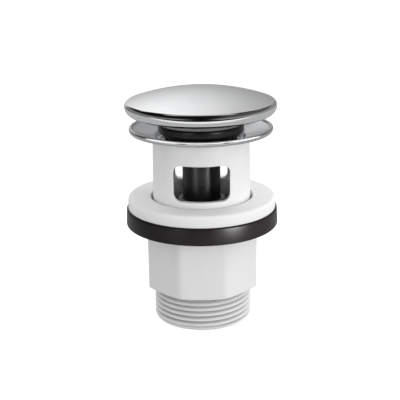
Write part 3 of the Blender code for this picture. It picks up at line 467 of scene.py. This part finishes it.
def make_barrel(material):
    """Tube with two windows. Each window's rim is a set of rings that follow its outline."""
    barrel = extent("barrel")
    window_bottom = extent("clamp_washer").top + WINDOW_SILL
    middle = window_bottom + WINDOW_HEIGHT / 2
    bore = barrel.radius - BARREL_WALL
    top_radius = barrel.radius - BARREL_TOP_DRAFT
    counterbore = top_radius - BARREL_COUNTERBORE_WALL
    counterbore_bottom = barrel.top - BARREL_COUNTERBORE_DEPTH
    ledge = extent("guide_basket").bottom - SEAT_GAP
    zone = window_rows(window_bottom)

    def outer_radius(height):
        share = min(1.0, (barrel.top - height) / BARREL_DRAFT_HEIGHT)
        return top_radius + BARREL_TOP_DRAFT * share

    outer_top = filleted([
        (counterbore, barrel.top, 0),
        (top_radius, barrel.top, 0.3),
        (top_radius, zone[0], 0),
    ])[1:-1]
    outline = list(outer_top)
    outer_first = len(outline)
    outline += [(outer_radius(height), height) for height in zone]
    thread_rows = rows_between(CLAMP_THREAD_TOP, barrel.bottom + BARREL_END_CHAMFER,
                               CLAMP_THREAD_PITCH / ROWS_PER_PITCH)
    outline += [(barrel.radius, height) for height in thread_rows]
    outline += [
        (barrel.radius - BARREL_END_CHAMFER, barrel.bottom),
        (bore - BARREL_LEDGE, barrel.bottom),
        (bore - BARREL_LEDGE, ledge),
        (bore, ledge),
    ]
    inner_first = len(outline)
    outline += [(bore, height) for height in reversed(zone)]
    outline += [
        (bore, counterbore_bottom),
        (counterbore, counterbore_bottom),
        (counterbore, barrel.top - 0.1),
    ]

    def shape(radius, height, angle):
        if height > CLAMP_THREAD_TOP or radius < barrel.radius - CLAMP_THREAD_REACH:
            return radius
        runout = min(1.0, (CLAMP_THREAD_TOP - height) / CLAMP_THREAD_PITCH)
        wave = thread_wave(height, angle, CLAMP_THREAD_PITCH)
        return radius - CLAMP_THREAD_DEPTH * runout * wave

    angles = even_angles()
    build = bmesh.new()
    lathe_mesh(build, outline, angles, shape)
    count = len(angles)
    lathed = list(build.verts)
    reach = math.asin((WINDOW_HALF_WIDTH + WINDOW_MARGIN) / barrel.radius)
    half_columns = round(reach / (math.tau / count))
    for centre_column in (count * 3 // 4, count // 4):
        cut_window(build, lathed, count, centre_column, half_columns,
                   (outer_first, inner_first), len(zone), middle, bore, outer_radius)
    loose = [vertex for vertex in build.verts if not vertex.link_faces]
    bmesh.ops.delete(build, geom=loose, context="VERTS")
    obj = finished("barrel_detail", build)
    return place(obj, "barrel", "waste_body", "white_plastic", material)


def cut_window(build, lathed, count, centre_column, half_columns, firsts, rows, middle, bore,
               outer_radius):
    """Opens the wall at a window and lines it with rings from the outer face to the inner one."""
    columns = [(centre_column + step) % count for step in range(-half_columns, half_columns + 1)]
    side = 1.0 if centre_column < count // 2 else -1.0
    loops = []
    doomed = []
    for surface, first in enumerate(firsts):
        grid = [[lathed[(first + row) * count + column] for column in columns]
                for row in range(rows)]
        if surface == 1:
            grid.reverse()
        loop = grid[0][:] + [line[-1] for line in grid[1:-1]]
        loop += grid[-1][::-1] + [line[0] for line in grid[-2:0:-1]]
        loops.append(loop)
        inside = {vertex for line in grid for vertex in line}
        for vertex in inside:
            for face in vertex.link_faces:
                if all(corner in inside for corner in face.verts):
                    doomed.append(face)
    bmesh.ops.delete(build, geom=list(set(doomed)), context="FACES_ONLY")
    rays = [(vertex.co.x / MM, vertex.co.z / MM - middle) for vertex in loops[0]]
    fillet = WINDOW_FILLET
    slant = fillet * (1 - math.sqrt(0.5))
    steps = [
        ("outer", 0.5 * WINDOW_MARGIN, 0.0),
        ("outer", fillet, 0.0),
        ("outer", slant, slant),
        ("outer", 0.0, fillet),
        ("inner", 0.0, fillet),
        ("inner", slant, slant),
        ("inner", fillet, 0.0),
        ("inner", 0.5 * WINDOW_MARGIN, 0.0),
    ]
    previous = loops[0]
    for surface, offset, depth in steps:
        ring = []
        for across, up in rays:
            hit = window_offset(across, up, offset)
            height = middle + hit.y
            radius = outer_radius(height) - depth if surface == "outer" else bore + depth
            away = side * math.sqrt(radius ** 2 - hit.x ** 2)
            ring.append(build.verts.new(Vector((hit.x, away, height)) * MM))
        join_rings(build, previous, ring)
        previous = ring
    join_rings(build, previous, loops[1])


# Clamping rings

def make_washer(material):
    washer = extent("clamp_washer")
    radius = washer.radius + WASHER_OVERSIZE
    bottom = extent("clamp_gasket").top + RING_CONTACT
    bore = extent("barrel").radius + WASHER_CLEARANCE
    outline = filleted([
        (radius, washer.top, 1.4),
        (radius, bottom, 0.15),
        (bore, bottom, 0.3),
        (bore, washer.top, 0.35),
    ])
    obj = lathe("clamp_washer_detail", outline)
    return place(obj, "clamp_washer", "clamp_rings", "ring_white", material)


def make_gasket(material):
    gasket = extent("clamp_gasket")
    bottom = extent("tailpiece").top + RING_CONTACT
    bore = extent("barrel").radius + GASKET_CLEARANCE
    outline = filleted([
        (gasket.radius - GASKET_DRAFT, gasket.top, 0.7),
        (gasket.radius, bottom, 0.4),
        (bore, bottom, 0.3),
        (bore, gasket.top, 0.3),
    ])
    obj = lathe("clamp_gasket_detail", outline)
    return place(obj, "clamp_gasket", "clamp_rings", "black_rubber", material)


# Tailpiece

def octagon_flat_edge():
    """Angle from a side's middle to where its rounded corner begins."""
    apothem = OCTAGON_ACROSS_FLATS / 2
    return math.atan((apothem - OCTAGON_CORNER) * math.tan(math.pi / OCTAGON_SIDES) / apothem)


def octagon_radius(angle):
    """Distance from the axis to a rounded octagon with a side facing +X."""
    sector = math.tau / OCTAGON_SIDES
    apothem = OCTAGON_ACROSS_FLATS / 2
    from_side = abs((angle + sector / 2) % sector - sector / 2)
    if from_side <= octagon_flat_edge():
        return apothem / math.cos(from_side)
    from_corner = sector / 2 - from_side
    centre = (apothem - OCTAGON_CORNER) / math.cos(sector / 2)
    across = centre * math.sin(from_corner)
    return centre * math.cos(from_corner) + math.sqrt(OCTAGON_CORNER ** 2 - across ** 2)


def octagon_angles():
    """Columns that fall on the octagon's corners, closer together where they are rounded."""
    sector = math.tau / OCTAGON_SIDES
    edge = octagon_flat_edge()
    angles = []
    for side in range(OCTAGON_SIDES):
        middle = side * sector
        for step in range(FLAT_COLUMNS):
            angles.append(middle - edge + 2 * edge * step / FLAT_COLUMNS)
        for step in range(CORNER_COLUMNS):
            angles.append(middle + edge + (sector - 2 * edge) * step / CORNER_COLUMNS)
    return angles


def make_tailpiece(material):
    tail = extent("tailpiece")
    octagon_top = tail.top - COLLAR_HEIGHT
    corner = OCTAGON_ACROSS_FLATS / 2 / math.cos(math.pi / OCTAGON_SIDES)
    bore = THREAD_RADIUS - OUTLET_WALL
    socket = OCTAGON_ACROSS_FLATS / 2 - SOCKET_WALL
    relief = THREAD_RADIUS - RELIEF_DEPTH
    chamfer_in, chamfer_up = OCTAGON_CHAMFER
    outline = filleted([
        (socket + SOCKET_CHAMFER, tail.top, 0),
        (tail.radius, tail.top, 0.35),
        (tail.radius, octagon_top, 0.3),
        (corner, octagon_top, 0),
    ])
    chamfer_top = OCTAGON_BOTTOM + chamfer_up
    flat_rows = rows_between(octagon_top - 0.3, chamfer_top, OCTAGON_ROW)
    outline += [(corner, height) for height in flat_rows]
    for height in rows_between(chamfer_top, OCTAGON_BOTTOM, CHAMFER_ROW)[1:]:
        share = (chamfer_top - height) / chamfer_up
        outline.append((corner - chamfer_in * share, height))
    outline += [
        (relief + RELIEF_EDGE, OCTAGON_BOTTOM),
        (relief, OCTAGON_BOTTOM - RELIEF_EDGE),
        (relief, THREAD_TOP + 0.5),
    ]
    thread_rows = rows_between(THREAD_TOP + 0.2, 0.0, THREAD_PITCH / ROWS_PER_PITCH)
    outline += [(THREAD_RADIUS, height) for height in thread_rows]
    outline += [
        (bore + OUTLET_CHAMFER, 0.0),
        (bore, OUTLET_CHAMFER),
        (bore, SOCKET_FLOOR),
        (socket, SOCKET_FLOOR),
        (socket, tail.top - SOCKET_CHAMFER),
        (socket + 0.5, tail.top - 0.05),
    ]

    def shape(radius, height, angle):
        on_collar = height > octagon_top - 0.01 and radius > corner + 0.01
        if radius < relief + 0.1 or on_collar:
            return radius
        if height >= OCTAGON_BOTTOM:
            outside = radius > socket + SOCKET_CHAMFER
            return min(radius, octagon_radius(angle)) if outside else radius
        cone = THREAD_RADIUS - max(0.0, THREAD_CHAMFER - height)
        below_top, slope = THREAD_RUNOUT
        runout = THREAD_RADIUS - max(0.0, (height - THREAD_TOP + below_top) * slope)
        shallow, deep = THREAD_START
        entry = min(1.0, max(0.0, (height - shallow) / (deep - shallow)))
        cut = THREAD_DEPTH * entry * thread_wave(height, angle, THREAD_PITCH, THREAD_PHASE)
        return max(relief - 0.1, min(cone, runout, THREAD_RADIUS - cut))

    obj = lathe("tailpiece_detail", outline, shape, octagon_angles())
    return place(obj, "tailpiece", "tail", "white_plastic", material)


# Cartridge and basket

def make_housing(material):
    housing = extent("cartridge_housing")
    ledge = extent("cam_ring").bottom - SEAT_GAP
    cam_bore = extent("cam_ring").radius + SEAT_GAP
    outline = filleted([
        (housing.radius, housing.top, 0.25),
        (housing.radius, housing.bottom, 0.3),
        (PLUNGER_BORE, housing.bottom, 0.1),
        (PLUNGER_BORE, ledge, 0.1),
        (cam_bore, ledge, 0.1),
        (cam_bore, housing.top, 0.15),
    ])
    obj = lathe("cartridge_housing_detail", outline)
    return place(obj, "cartridge_housing", "waste_body", "black_plastic", material)


def make_collar(material):
    collar = extent("cartridge_collar")
    shoulder = extent("cartridge_housing").top + SEAT_GAP
    spigot = extent("cam_ring").radius
    outline = filleted([
        (collar.radius, collar.top, 0.6),
        (collar.radius, shoulder, 0.1),
        (spigot, shoulder, 0.1),
        (spigot, collar.bottom, 0.2),
        (PLUNGER_BORE, collar.bottom, 0.2),
        (PLUNGER_BORE, collar.top, 0.3),
    ])
    obj = lathe("cartridge_collar_detail", outline)
    return place(obj, "cartridge_collar", "waste_body", "black_plastic", material)


def make_spring(material):
    """Coil over the return spring's height, with its turns closer together at both ends."""
    spring = extent("return_spring")
    wire = SPRING_WIRE / 2
    coil = spring.radius - wire
    bottom = spring.bottom + wire
    length = spring.top - spring.bottom - SPRING_WIRE
    count = SPRING_TURNS * SPRING_STEPS
    build = bmesh.new()
    rings = []
    for index in range(count + 1):
        share = index / count
        turn = math.tau * SPRING_TURNS * share
        climb = share * share * (3 - 2 * share)
        outward = Vector((math.cos(turn), math.sin(turn), 0.0))
        middle = outward * coil + Vector((0.0, 0.0, bottom + length * climb))
        ring = []
        for corner in range(SPRING_SIDES):
            angle = math.tau * corner / SPRING_SIDES
            rim = outward * math.cos(angle) + Vector((0.0, 0.0, math.sin(angle)))
            ring.append(build.verts.new((middle + rim * wire) * MM))
        rings.append(ring)
    for lower, upper in zip(rings, rings[1:]):
        join_rings(build, upper, lower)
    build.faces.new(rings[0])
    build.faces.new(rings[-1])
    obj = finished("return_spring_coil", build)
    obj.data.materials.append(material)
    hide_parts("return_spring")
    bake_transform(obj)
    return obj


# Materials

# The colour sockets of the Mix node share their names with its other ones, so they go by number
MIX_FIRST = 6
MIX_SECOND = 7
MIX_RESULT = 2


class Nodes:
    """Short calls for adding and linking nodes in one tree."""

    def __init__(self, tree):
        self.tree = tree

    def add(self, kind, inputs=None, **settings):
        node = self.tree.nodes.new(kind)
        for key, value in settings.items():
            setattr(node, key, value)
        for key, value in (inputs or {}).items():
            if isinstance(value, bpy.types.NodeSocket):
                self.tree.links.new(value, node.inputs[key])
            else:
                node.inputs[key].default_value = value
        return node

    def ramp(self, value, start, end, low, high):
        """Smooth step from low at start to high at end."""
        inputs = {"Value": value, "From Min": start, "From Max": end, "To Min": low, "To Max": high}
        node = self.add("ShaderNodeMapRange", inputs, interpolation_type="SMOOTHSTEP")
        return node.outputs["Result"]

    def math(self, operation, first, second=0.0):
        node = self.add("ShaderNodeMath", {0: first, 1: second}, operation=operation)
        return node.outputs[0]

    def multiply(self, first, second):
        return self.math("MULTIPLY", first, second)

    def mix(self, share, first, second):
        node = self.add("ShaderNodeMix", {0: share, 2: first, 3: second}, data_type="FLOAT")
        return node.outputs[0]

    def choose(self, share, first, second):
        """First shader where share is 0 and second where it is 1."""
        inputs = {0: share, 1: first.outputs[0], 2: second.outputs[0]}
        return self.add("ShaderNodeMixShader", inputs)


class Shader(Nodes):
    """One material's nodes."""

    def __init__(self, name):
        self.material = bpy.data.materials.new(name)
        self.material.use_nodes = True
        super().__init__(self.material.node_tree)
        self.principled = self.tree.nodes["Principled BSDF"]
        self.place = self.add("ShaderNodeTexCoord").outputs["Object"]

    def set(self, **inputs):
        for key, value in inputs.items():
            socket = self.principled.inputs[key.replace("_", " ")]
            if isinstance(value, bpy.types.NodeSocket):
                self.tree.links.new(value, socket)
            else:
                socket.default_value = value

    def noise(self, size, detail=3.0, roughness=0.5, vector=None):
        """Noise whose features are about size millimetres across."""
        inputs = {
            "Vector": vector or self.place,
            "Scale": 1 / (size * MM),
            "Detail": detail,
            "Roughness": roughness,
        }
        return self.add("ShaderNodeTexNoise", inputs).outputs["Fac"]

    def spread(self, value, low, high, start=0.3, end=0.7):
        inputs = {"Value": value, "From Min": start, "From Max": end, "To Min": low, "To Max": high}
        return self.add("ShaderNodeMapRange", inputs).outputs["Result"]

    def blend(self, share, first, second):
        """Colour between first and second, of which each is three numbers or a socket."""
        node = self.add("ShaderNodeMix", data_type="RGBA")
        self.tree.links.new(share, node.inputs["Factor"])
        for index, colour in ((MIX_FIRST, first), (MIX_SECOND, second)):
            if isinstance(colour, bpy.types.NodeSocket):
                self.tree.links.new(colour, node.inputs[index])
            else:
                node.inputs[index].default_value = (*colour, 1.0)
        return node.outputs[MIX_RESULT]

    def painted_root_shade(self, colour, inner, outer, level):
        """Colour with painted shade below a level, from none at the outer radius to all at the inner
        one.
        """
        flat = self.add("ShaderNodeVectorMath", {0: self.place, 1: (1.0, 1.0, 0.0)},
                        operation="MULTIPLY").outputs[0]
        reach = self.add("ShaderNodeVectorMath", {0: flat}, operation="LENGTH").outputs["Value"]
        height = self.add("ShaderNodeSeparateXYZ", {"Vector": self.place}).outputs["Z"]
        unshaded = self.ramp(reach, inner * MM, outer * MM, 0.0, 1.0)
        above = self.ramp(height, level * MM, (level + 0.05) * MM, 0.0, 1.0)
        share = self.math("MAXIMUM", unshaded, above)
        return self.blend(share, ROOT_PAINTED_SHADE, colour)

    def stretched(self, scale):
        node = self.add("ShaderNodeMapping", {"Vector": self.place, "Scale": scale})
        return node.outputs["Vector"]

    def relief(self, height, depth, normal=None):
        """Bump of depth millimetres."""
        inputs = {"Height": height, "Strength": 1.0, "Distance": depth * MM}
        if normal is not None:
            inputs["Normal"] = normal
        return self.add("ShaderNodeBump", inputs).outputs["Normal"]


def chrome_material(name, light, dark, roughness):
    shader = Shader(name)
    cloud = shader.noise(14.0, 4.0)
    haze = shader.noise(0.9, 2.0)
    shader.set(
        Base_Color=shader.blend(shader.spread(cloud, 0, 1), dark, light),
        Metallic=1.0,
        Roughness=shader.spread(haze, roughness - 0.02, roughness + 0.02),
        Normal=shader.relief(shader.noise(6.0, 2.0), 0.004),
    )
    return shader.material


def white_plastic_material(name, light, dark, roughness=0.42, grain=0.5, grain_depth=0.006,
                           root_shade=None):
    """Moulded plastic. The last argument, when given, holds the two radii and the level that say where
    painted shade greys the surface.
    """
    shader = Shader(name)
    flow = shader.noise(9.0, 3.0, vector=shader.stretched((1.0, 1.0, 0.3)))
    pores = shader.noise(grain, 3.0, 0.6)
    waves = shader.relief(shader.noise(4.0, 1.0), 0.02)
    colour = shader.blend(shader.spread(flow, 0, 1), dark, light)
    # Painted shade in a thread's roots and the groove above it, darker towards the root
    if root_shade:
        colour = shader.painted_root_shade(colour, *root_shade)
    shader.set(
        Base_Color=colour,
        Roughness=shader.spread(pores, roughness - 0.06, roughness + 0.08),
        Specular_IOR_Level=0.4,
        Normal=shader.relief(pores, grain_depth, waves),
    )
    return shader.material


def dark_material(name, light, dark, roughness, grain, grain_depth, specular=0.5):
    shader = Shader(name)
    cloud = shader.noise(5.0, 4.0)
    pores = shader.noise(grain, 4.0, 0.65)
    shader.set(
        Base_Color=shader.blend(shader.spread(cloud, 0, 1), dark, light),
        Roughness=shader.spread(pores, roughness - 0.07, roughness + 0.08),
        Specular_IOR_Level=specular,
        Normal=shader.relief(pores, grain_depth),
    )
    return shader.material


def metal_material(name, light, dark, roughness):
    shader = Shader(name)
    lines = shader.noise(0.5, 2.0, vector=shader.stretched((0.15, 0.15, 1.0)))
    shader.set(
        Base_Color=shader.blend(shader.spread(lines, 0, 1), dark, light),
        Metallic=1.0,
        Roughness=shader.spread(lines, roughness - 0.05, roughness + 0.1),
        Normal=shader.relief(lines, 0.004),
    )
    return shader.material


# Stage. Ahead is the camera's way of looking, and across is its right.

SKY_LEFT = 0.48              # strengths of the soft light
SKY_RIGHT = 0.784
SKY_REAR = 1.75
FLOOR_BOUNCE = 0.42          # the floor's grey as a source of bounced light
FLOOR_WHITE = 0.8            # its glow to the camera, and the grey that takes the shadow
FLOOR_SHADE = 0.45
FLOOR_RADIUS = 4000.0
FLOOR_DROP = 0.2             # keeps the floor clear of the faces that stand on it
PANEL_DISTANCE = 560.0
PANEL_AIM = (0.0, 0.0, 55.0)


def look_at(obj, place, target):
    obj.location = Vector(place) * MM
    way = (Vector(target) - Vector(place)).normalized()
    obj.rotation_euler = way.to_track_quat("-Z", "Y").to_euler()


def softbox(name, azimuth, height, size, power, lit, unseen=()):
    """Light panel at an azimuth right of the camera's side, for the pieces in lit only. Those in
    unseen cast no shadow in its light."""
    width, tall = size
    light = bpy.data.lights.new(name, "AREA")
    light.shape = "RECTANGLE"
    light.size = width * MM
    light.size_y = tall * MM
    light.energy = power
    obj = bpy.data.objects.new(name, light)
    bpy.context.scene.collection.objects.link(obj)
    turn = math.radians(azimuth)
    away = Vector((math.sin(turn), -math.cos(turn))) * PANEL_DISTANCE
    look_at(obj, (away.x, away.y, height), PANEL_AIM)
    obj.light_linking.receiver_collection = linked(name + "_lights", lit, "INCLUDE")
    if unseen:
        obj.light_linking.blocker_collection = linked(name + "_passes", unseen, "EXCLUDE")
    return obj


def linked(name, pieces, state):
    """Collection for light linking."""
    collection = bpy.data.collections.new(name)
    for piece in pieces:
        collection.objects.link(piece)
    for member in collection.collection_objects:
        member.light_linking.link_state = state
    return collection


def make_floor():
    """Pale floor: white to the camera, with the object's shadow kept. Metal mirrors it dark towards
    the camera and far on the left, bright in a band before the object, and grey from there on. The
    ramps' places are in metres."""
    build = bmesh.new()
    bmesh.ops.create_circle(build, cap_ends=True, segments=64, radius=FLOOR_RADIUS * MM)
    floor = finished("floor", build)
    floor.location.z = -FLOOR_DROP * MM
    shader = Shader("pale_floor")
    tree = shader.tree
    path = shader.add("ShaderNodeLightPath")
    distance = shader.add("ShaderNodeSeparateXYZ", {"Vector": shader.place}).outputs["Y"]
    sideways = shader.add("ShaderNodeSeparateXYZ", {"Vector": shader.place}).outputs["X"]
    far = shader.multiply(shader.ramp(distance, -0.285, -0.20, 0.01, 1.1),
                          shader.ramp(sideways, -1.1, -0.65, 0.03, 1.0))
    near = shader.ramp(distance, -0.19, -0.07, 1.0, 0.43)
    grain = shader.spread(shader.noise(30.0, 2.0), 0, 1)
    tint = shader.blend(grain, (FLOOR_BOUNCE - 0.01,) * 3, (FLOOR_BOUNCE + 0.01,) * 3)
    plain = shader.add("ShaderNodeBsdfDiffuse", {"Color": tint})
    mirrored = shader.add("ShaderNodeEmission", {"Strength": shader.multiply(far, near)})
    faint = shader.add("ShaderNodeBsdfDiffuse", {"Color": (*(FLOOR_SHADE,) * 3, 1.0)})
    glow = shader.add("ShaderNodeEmission", {"Strength": FLOOR_WHITE})
    white = shader.add("ShaderNodeAddShader", {0: faint.outputs[0], 1: glow.outputs[0]})
    seen = shader.choose(path.outputs["Is Camera Ray"], plain, white)
    whole = shader.choose(path.outputs["Is Glossy Ray"], seen, mirrored)
    tree.links.new(whole.outputs[0], tree.nodes["Material Output"].inputs["Surface"])
    tree.nodes.remove(shader.principled)
    floor.data.materials.append(shader.material)
    return floor


def mirrored_studio(nodes, across, ahead, up, side):
    """What metal mirrors: a bright rear, brighter on the left, a dark front and dark flanks with a
    little light low at the sides, and a dim ceiling panel."""
    rear = nodes.multiply(nodes.ramp(up, -0.05, 0.8, 0.448, 0.896),
                          nodes.ramp(across, -0.3, 0.42, 1.26, 0.52))
    front = nodes.ramp(ahead, 0.62, 0.48, 0.0, 1.0)
    flank = nodes.multiply(nodes.ramp(side, 0.45, 0.53, 0.0, 1.0),
                           nodes.ramp(up, 0.75, 0.55, 0.0, 1.0))
    shade = nodes.math("MAXIMUM", front, flank)
    low = nodes.multiply(nodes.ramp(side, 0.1, 0.55, 0.0, 1.0),
                         nodes.ramp(up, 0.5, 0.18, 0.0, 0.2))
    gloom = nodes.math("ADD", nodes.ramp(across, 0.2, 0.75, 0.005, 0.08), low)
    ceiling = nodes.multiply(nodes.ramp(ahead, 0.48, 0.36, 0.0, 1.0),
                             nodes.ramp(ahead, -0.08, 0.06, 0.0, 1.0))
    ceiling = nodes.multiply(ceiling, nodes.ramp(up, 0.84, 0.94, 0.0, 0.5))
    return nodes.math("ADD", nodes.mix(shade, rear, gloom), ceiling)


def soft_light(nodes, across, ahead, up, side):
    """Light all round, stronger on the right, at the rear, at both sides and overhead."""
    around = nodes.multiply(nodes.ramp(across, -1.0, 1.0, SKY_LEFT, SKY_RIGHT),
                            nodes.ramp(ahead, -0.3, 0.6, 0.85, SKY_REAR))
    around = nodes.multiply(around, nodes.ramp(side, 0.6, 0.95, 1.0, 2.0))
    return nodes.multiply(around, nodes.ramp(up, 0.5, 1.0, 1.0, 1.25))


def make_world():
    """Soft light all round, white to the camera, and a studio for what metal mirrors."""
    world = bpy.data.worlds.new("studio")
    bpy.context.scene.world = world
    world.use_nodes = True
    tree = world.node_tree
    tree.nodes.clear()
    nodes = Nodes(tree)
    place = nodes.add("ShaderNodeTexCoord").outputs["Generated"]
    across, ahead, up = nodes.add("ShaderNodeSeparateXYZ", {0: place}).outputs
    side = nodes.math("ABSOLUTE", across)
    path = nodes.add("ShaderNodeLightPath")
    mirror = mirrored_studio(nodes, across, ahead, up, side)
    around = soft_light(nodes, across, ahead, up, side)
    soft = nodes.mix(path.outputs["Is Glossy Ray"], around, mirror)
    seen = nodes.math("MAXIMUM", path.outputs["Is Camera Ray"], path.outputs["Is Transmission Ray"])
    strength = nodes.mix(seen, soft, 1.0)
    background = nodes.add("ShaderNodeBackground", {"Color": (1.0,) * 4, "Strength": strength})
    output = nodes.add("ShaderNodeOutputWorld")
    tree.links.new(background.outputs[0], output.inputs["Surface"])


def make_camera():
    data = bpy.data.cameras.new("camera")
    data.lens = CAMERA_LENS
    data.sensor_width = CAMERA_SENSOR
    camera = bpy.data.objects.new("camera", data)
    bpy.context.scene.collection.objects.link(camera)
    back = Vector((0.0, -math.cos(CAMERA_ELEVATION), math.sin(CAMERA_ELEVATION)))
    camera.location = (Vector(CAMERA_AIM) + back * CAMERA_DISTANCE) * MM
    facing = (-back).to_track_quat("-Z", "Y").to_matrix()
    camera.rotation_euler = (facing @ Matrix.Rotation(CAMERA_ROLL, 3, "Z")).to_euler()
    bpy.context.scene.camera = camera
    bpy.context.scene.view_settings.view_transform = "Standard"


def make_materials():
    """All materials by a short name. Each has a light and a dark shade and a roughness. A plastic
    or rubber also has its grain's size and depth and, where it isn't the usual, its specular level."""
    # Where the tailpiece gets painted shade: its thread's roots and the relief groove below the
    # octagon
    root_shade = (THREAD_RADIUS - THREAD_DEPTH, THREAD_RADIUS - UNSHADED_CREST, OCTAGON_BOTTOM)
    moulded = ((0.86, 0.865, 0.86), (0.83, 0.835, 0.83))
    return {
        "cap_chrome": chrome_material(
            "cap_chrome", (0.90, 0.905, 0.91), (0.84, 0.85, 0.865), 0.055),
        "cup_chrome": chrome_material(
            "cup_chrome", (0.68, 0.685, 0.695), (0.62, 0.63, 0.645), 0.16),
        "white": white_plastic_material("white_plastic", *moulded),
        "tail_white": white_plastic_material("tail_plastic", *moulded, root_shade=root_shade),
        "ring_white": white_plastic_material(
            "ring_white", (0.91, 0.91, 0.905), (0.885, 0.885, 0.88), 0.58, 0.35, 0.012),
        "rubber": dark_material(
            "black_rubber", (0.014, 0.012, 0.012), (0.009, 0.0075, 0.0078), 0.34, 0.25, 0.008),
        "gasket_rubber": dark_material(
            "gasket_rubber", (0.009, 0.0064, 0.007), (0.006, 0.0038, 0.0044), 0.33, 0.25, 0.004, 0.26),
        "black": dark_material(
            "black_plastic", (0.012, 0.011, 0.012), (0.007, 0.007, 0.0075), 0.34, 0.4, 0.002, 0.9),
        "lining": dark_material(
            "basket_plastic", (0.15, 0.144, 0.146), (0.125, 0.12, 0.122), 0.5, 0.4, 0.008),
        "steel": metal_material("drawn_steel", (0.66, 0.66, 0.67), (0.55, 0.55, 0.56), 0.28),
        "brass": metal_material("turned_brass", (0.78, 0.62, 0.34), (0.66, 0.50, 0.26), 0.30),
    }


def make_pieces(materials):
    """Every piece by its node's name: those modelled here, and the CAD nodes that stay."""
    pieces = {
        "plug_cap": make_cap(materials["cap_chrome"]),
        "plug_seal": make_seal(materials["rubber"]),
        "seal_retainer": make_retainer(materials["black"]),
        "flange_cup": make_flange(materials["cup_chrome"]),
        "clamp_gasket": make_gasket(materials["gasket_rubber"]),
        "barrel": make_barrel(materials["white"]),
        "clamp_washer": make_washer(materials["ring_white"]),
        "tailpiece": make_tailpiece(materials["tail_white"]),
        "cartridge_housing": make_housing(materials["black"]),
        "cartridge_collar": make_collar(materials["black"]),
        "return_spring": make_spring(materials["steel"]),
    }
    carried_over = {
        "guide_basket": "lining",
        "cartridge_base": "black",
        "cap_insert": "black",
        "plunger": "black",
        "cam_ring": "white",
        "cup_o_ring": "rubber",
        "tail_seal": "rubber",
        "plug_stud": "steel",
        "spring_seat": "steel",
        "cartridge_nut": "brass",
    }
    for node, key in carried_over.items():
        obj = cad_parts[node]
        for slot in obj.material_slots:
            slot.material = materials[key]
        pieces[node] = obj
    return pieces


def make_lights(pieces, floor):
    """Two narrow panels for all that isn't chrome, and wide or faint ones for single pieces, whose
    sheen they give."""
    dull = [piece for node, piece in pieces.items() if node not in ("plug_cap", "flange_cup")]
    dull.append(floor)
    softbox("key", 40.0, 130.0, (55.0, 300.0), 1.0, dull)
    softbox("fill", -34.0, 130.0, (40.0, 300.0), 0.40, dull)
    softbox("glint", 46.0, 60.0, (180.0, 105.0), 4.2, [pieces["clamp_gasket"]])
    softbox("lining", 5.0, 190.0, (300.0, 200.0), 4.2, [pieces["guide_basket"]])
    for side, azimuth in (("left", -65.0), ("middle", 5.0), ("right", 75.0)):
        softbox("crest_" + side, azimuth, 360.0, (700.0, 700.0), 2.2, [pieces["flange_cup"]])
    above_seal = [pieces[node] for node in ("plug_cap", "seal_retainer", "cap_insert", "plug_stud")]
    softbox("seal_sheen", 180.0, 300.0, (500.0, 120.0), 0.33, [pieces["plug_seal"]], above_seal)


def main():
    pieces = make_pieces(make_materials())
    make_world()
    make_lights(pieces, make_floor())
    make_camera()


main()
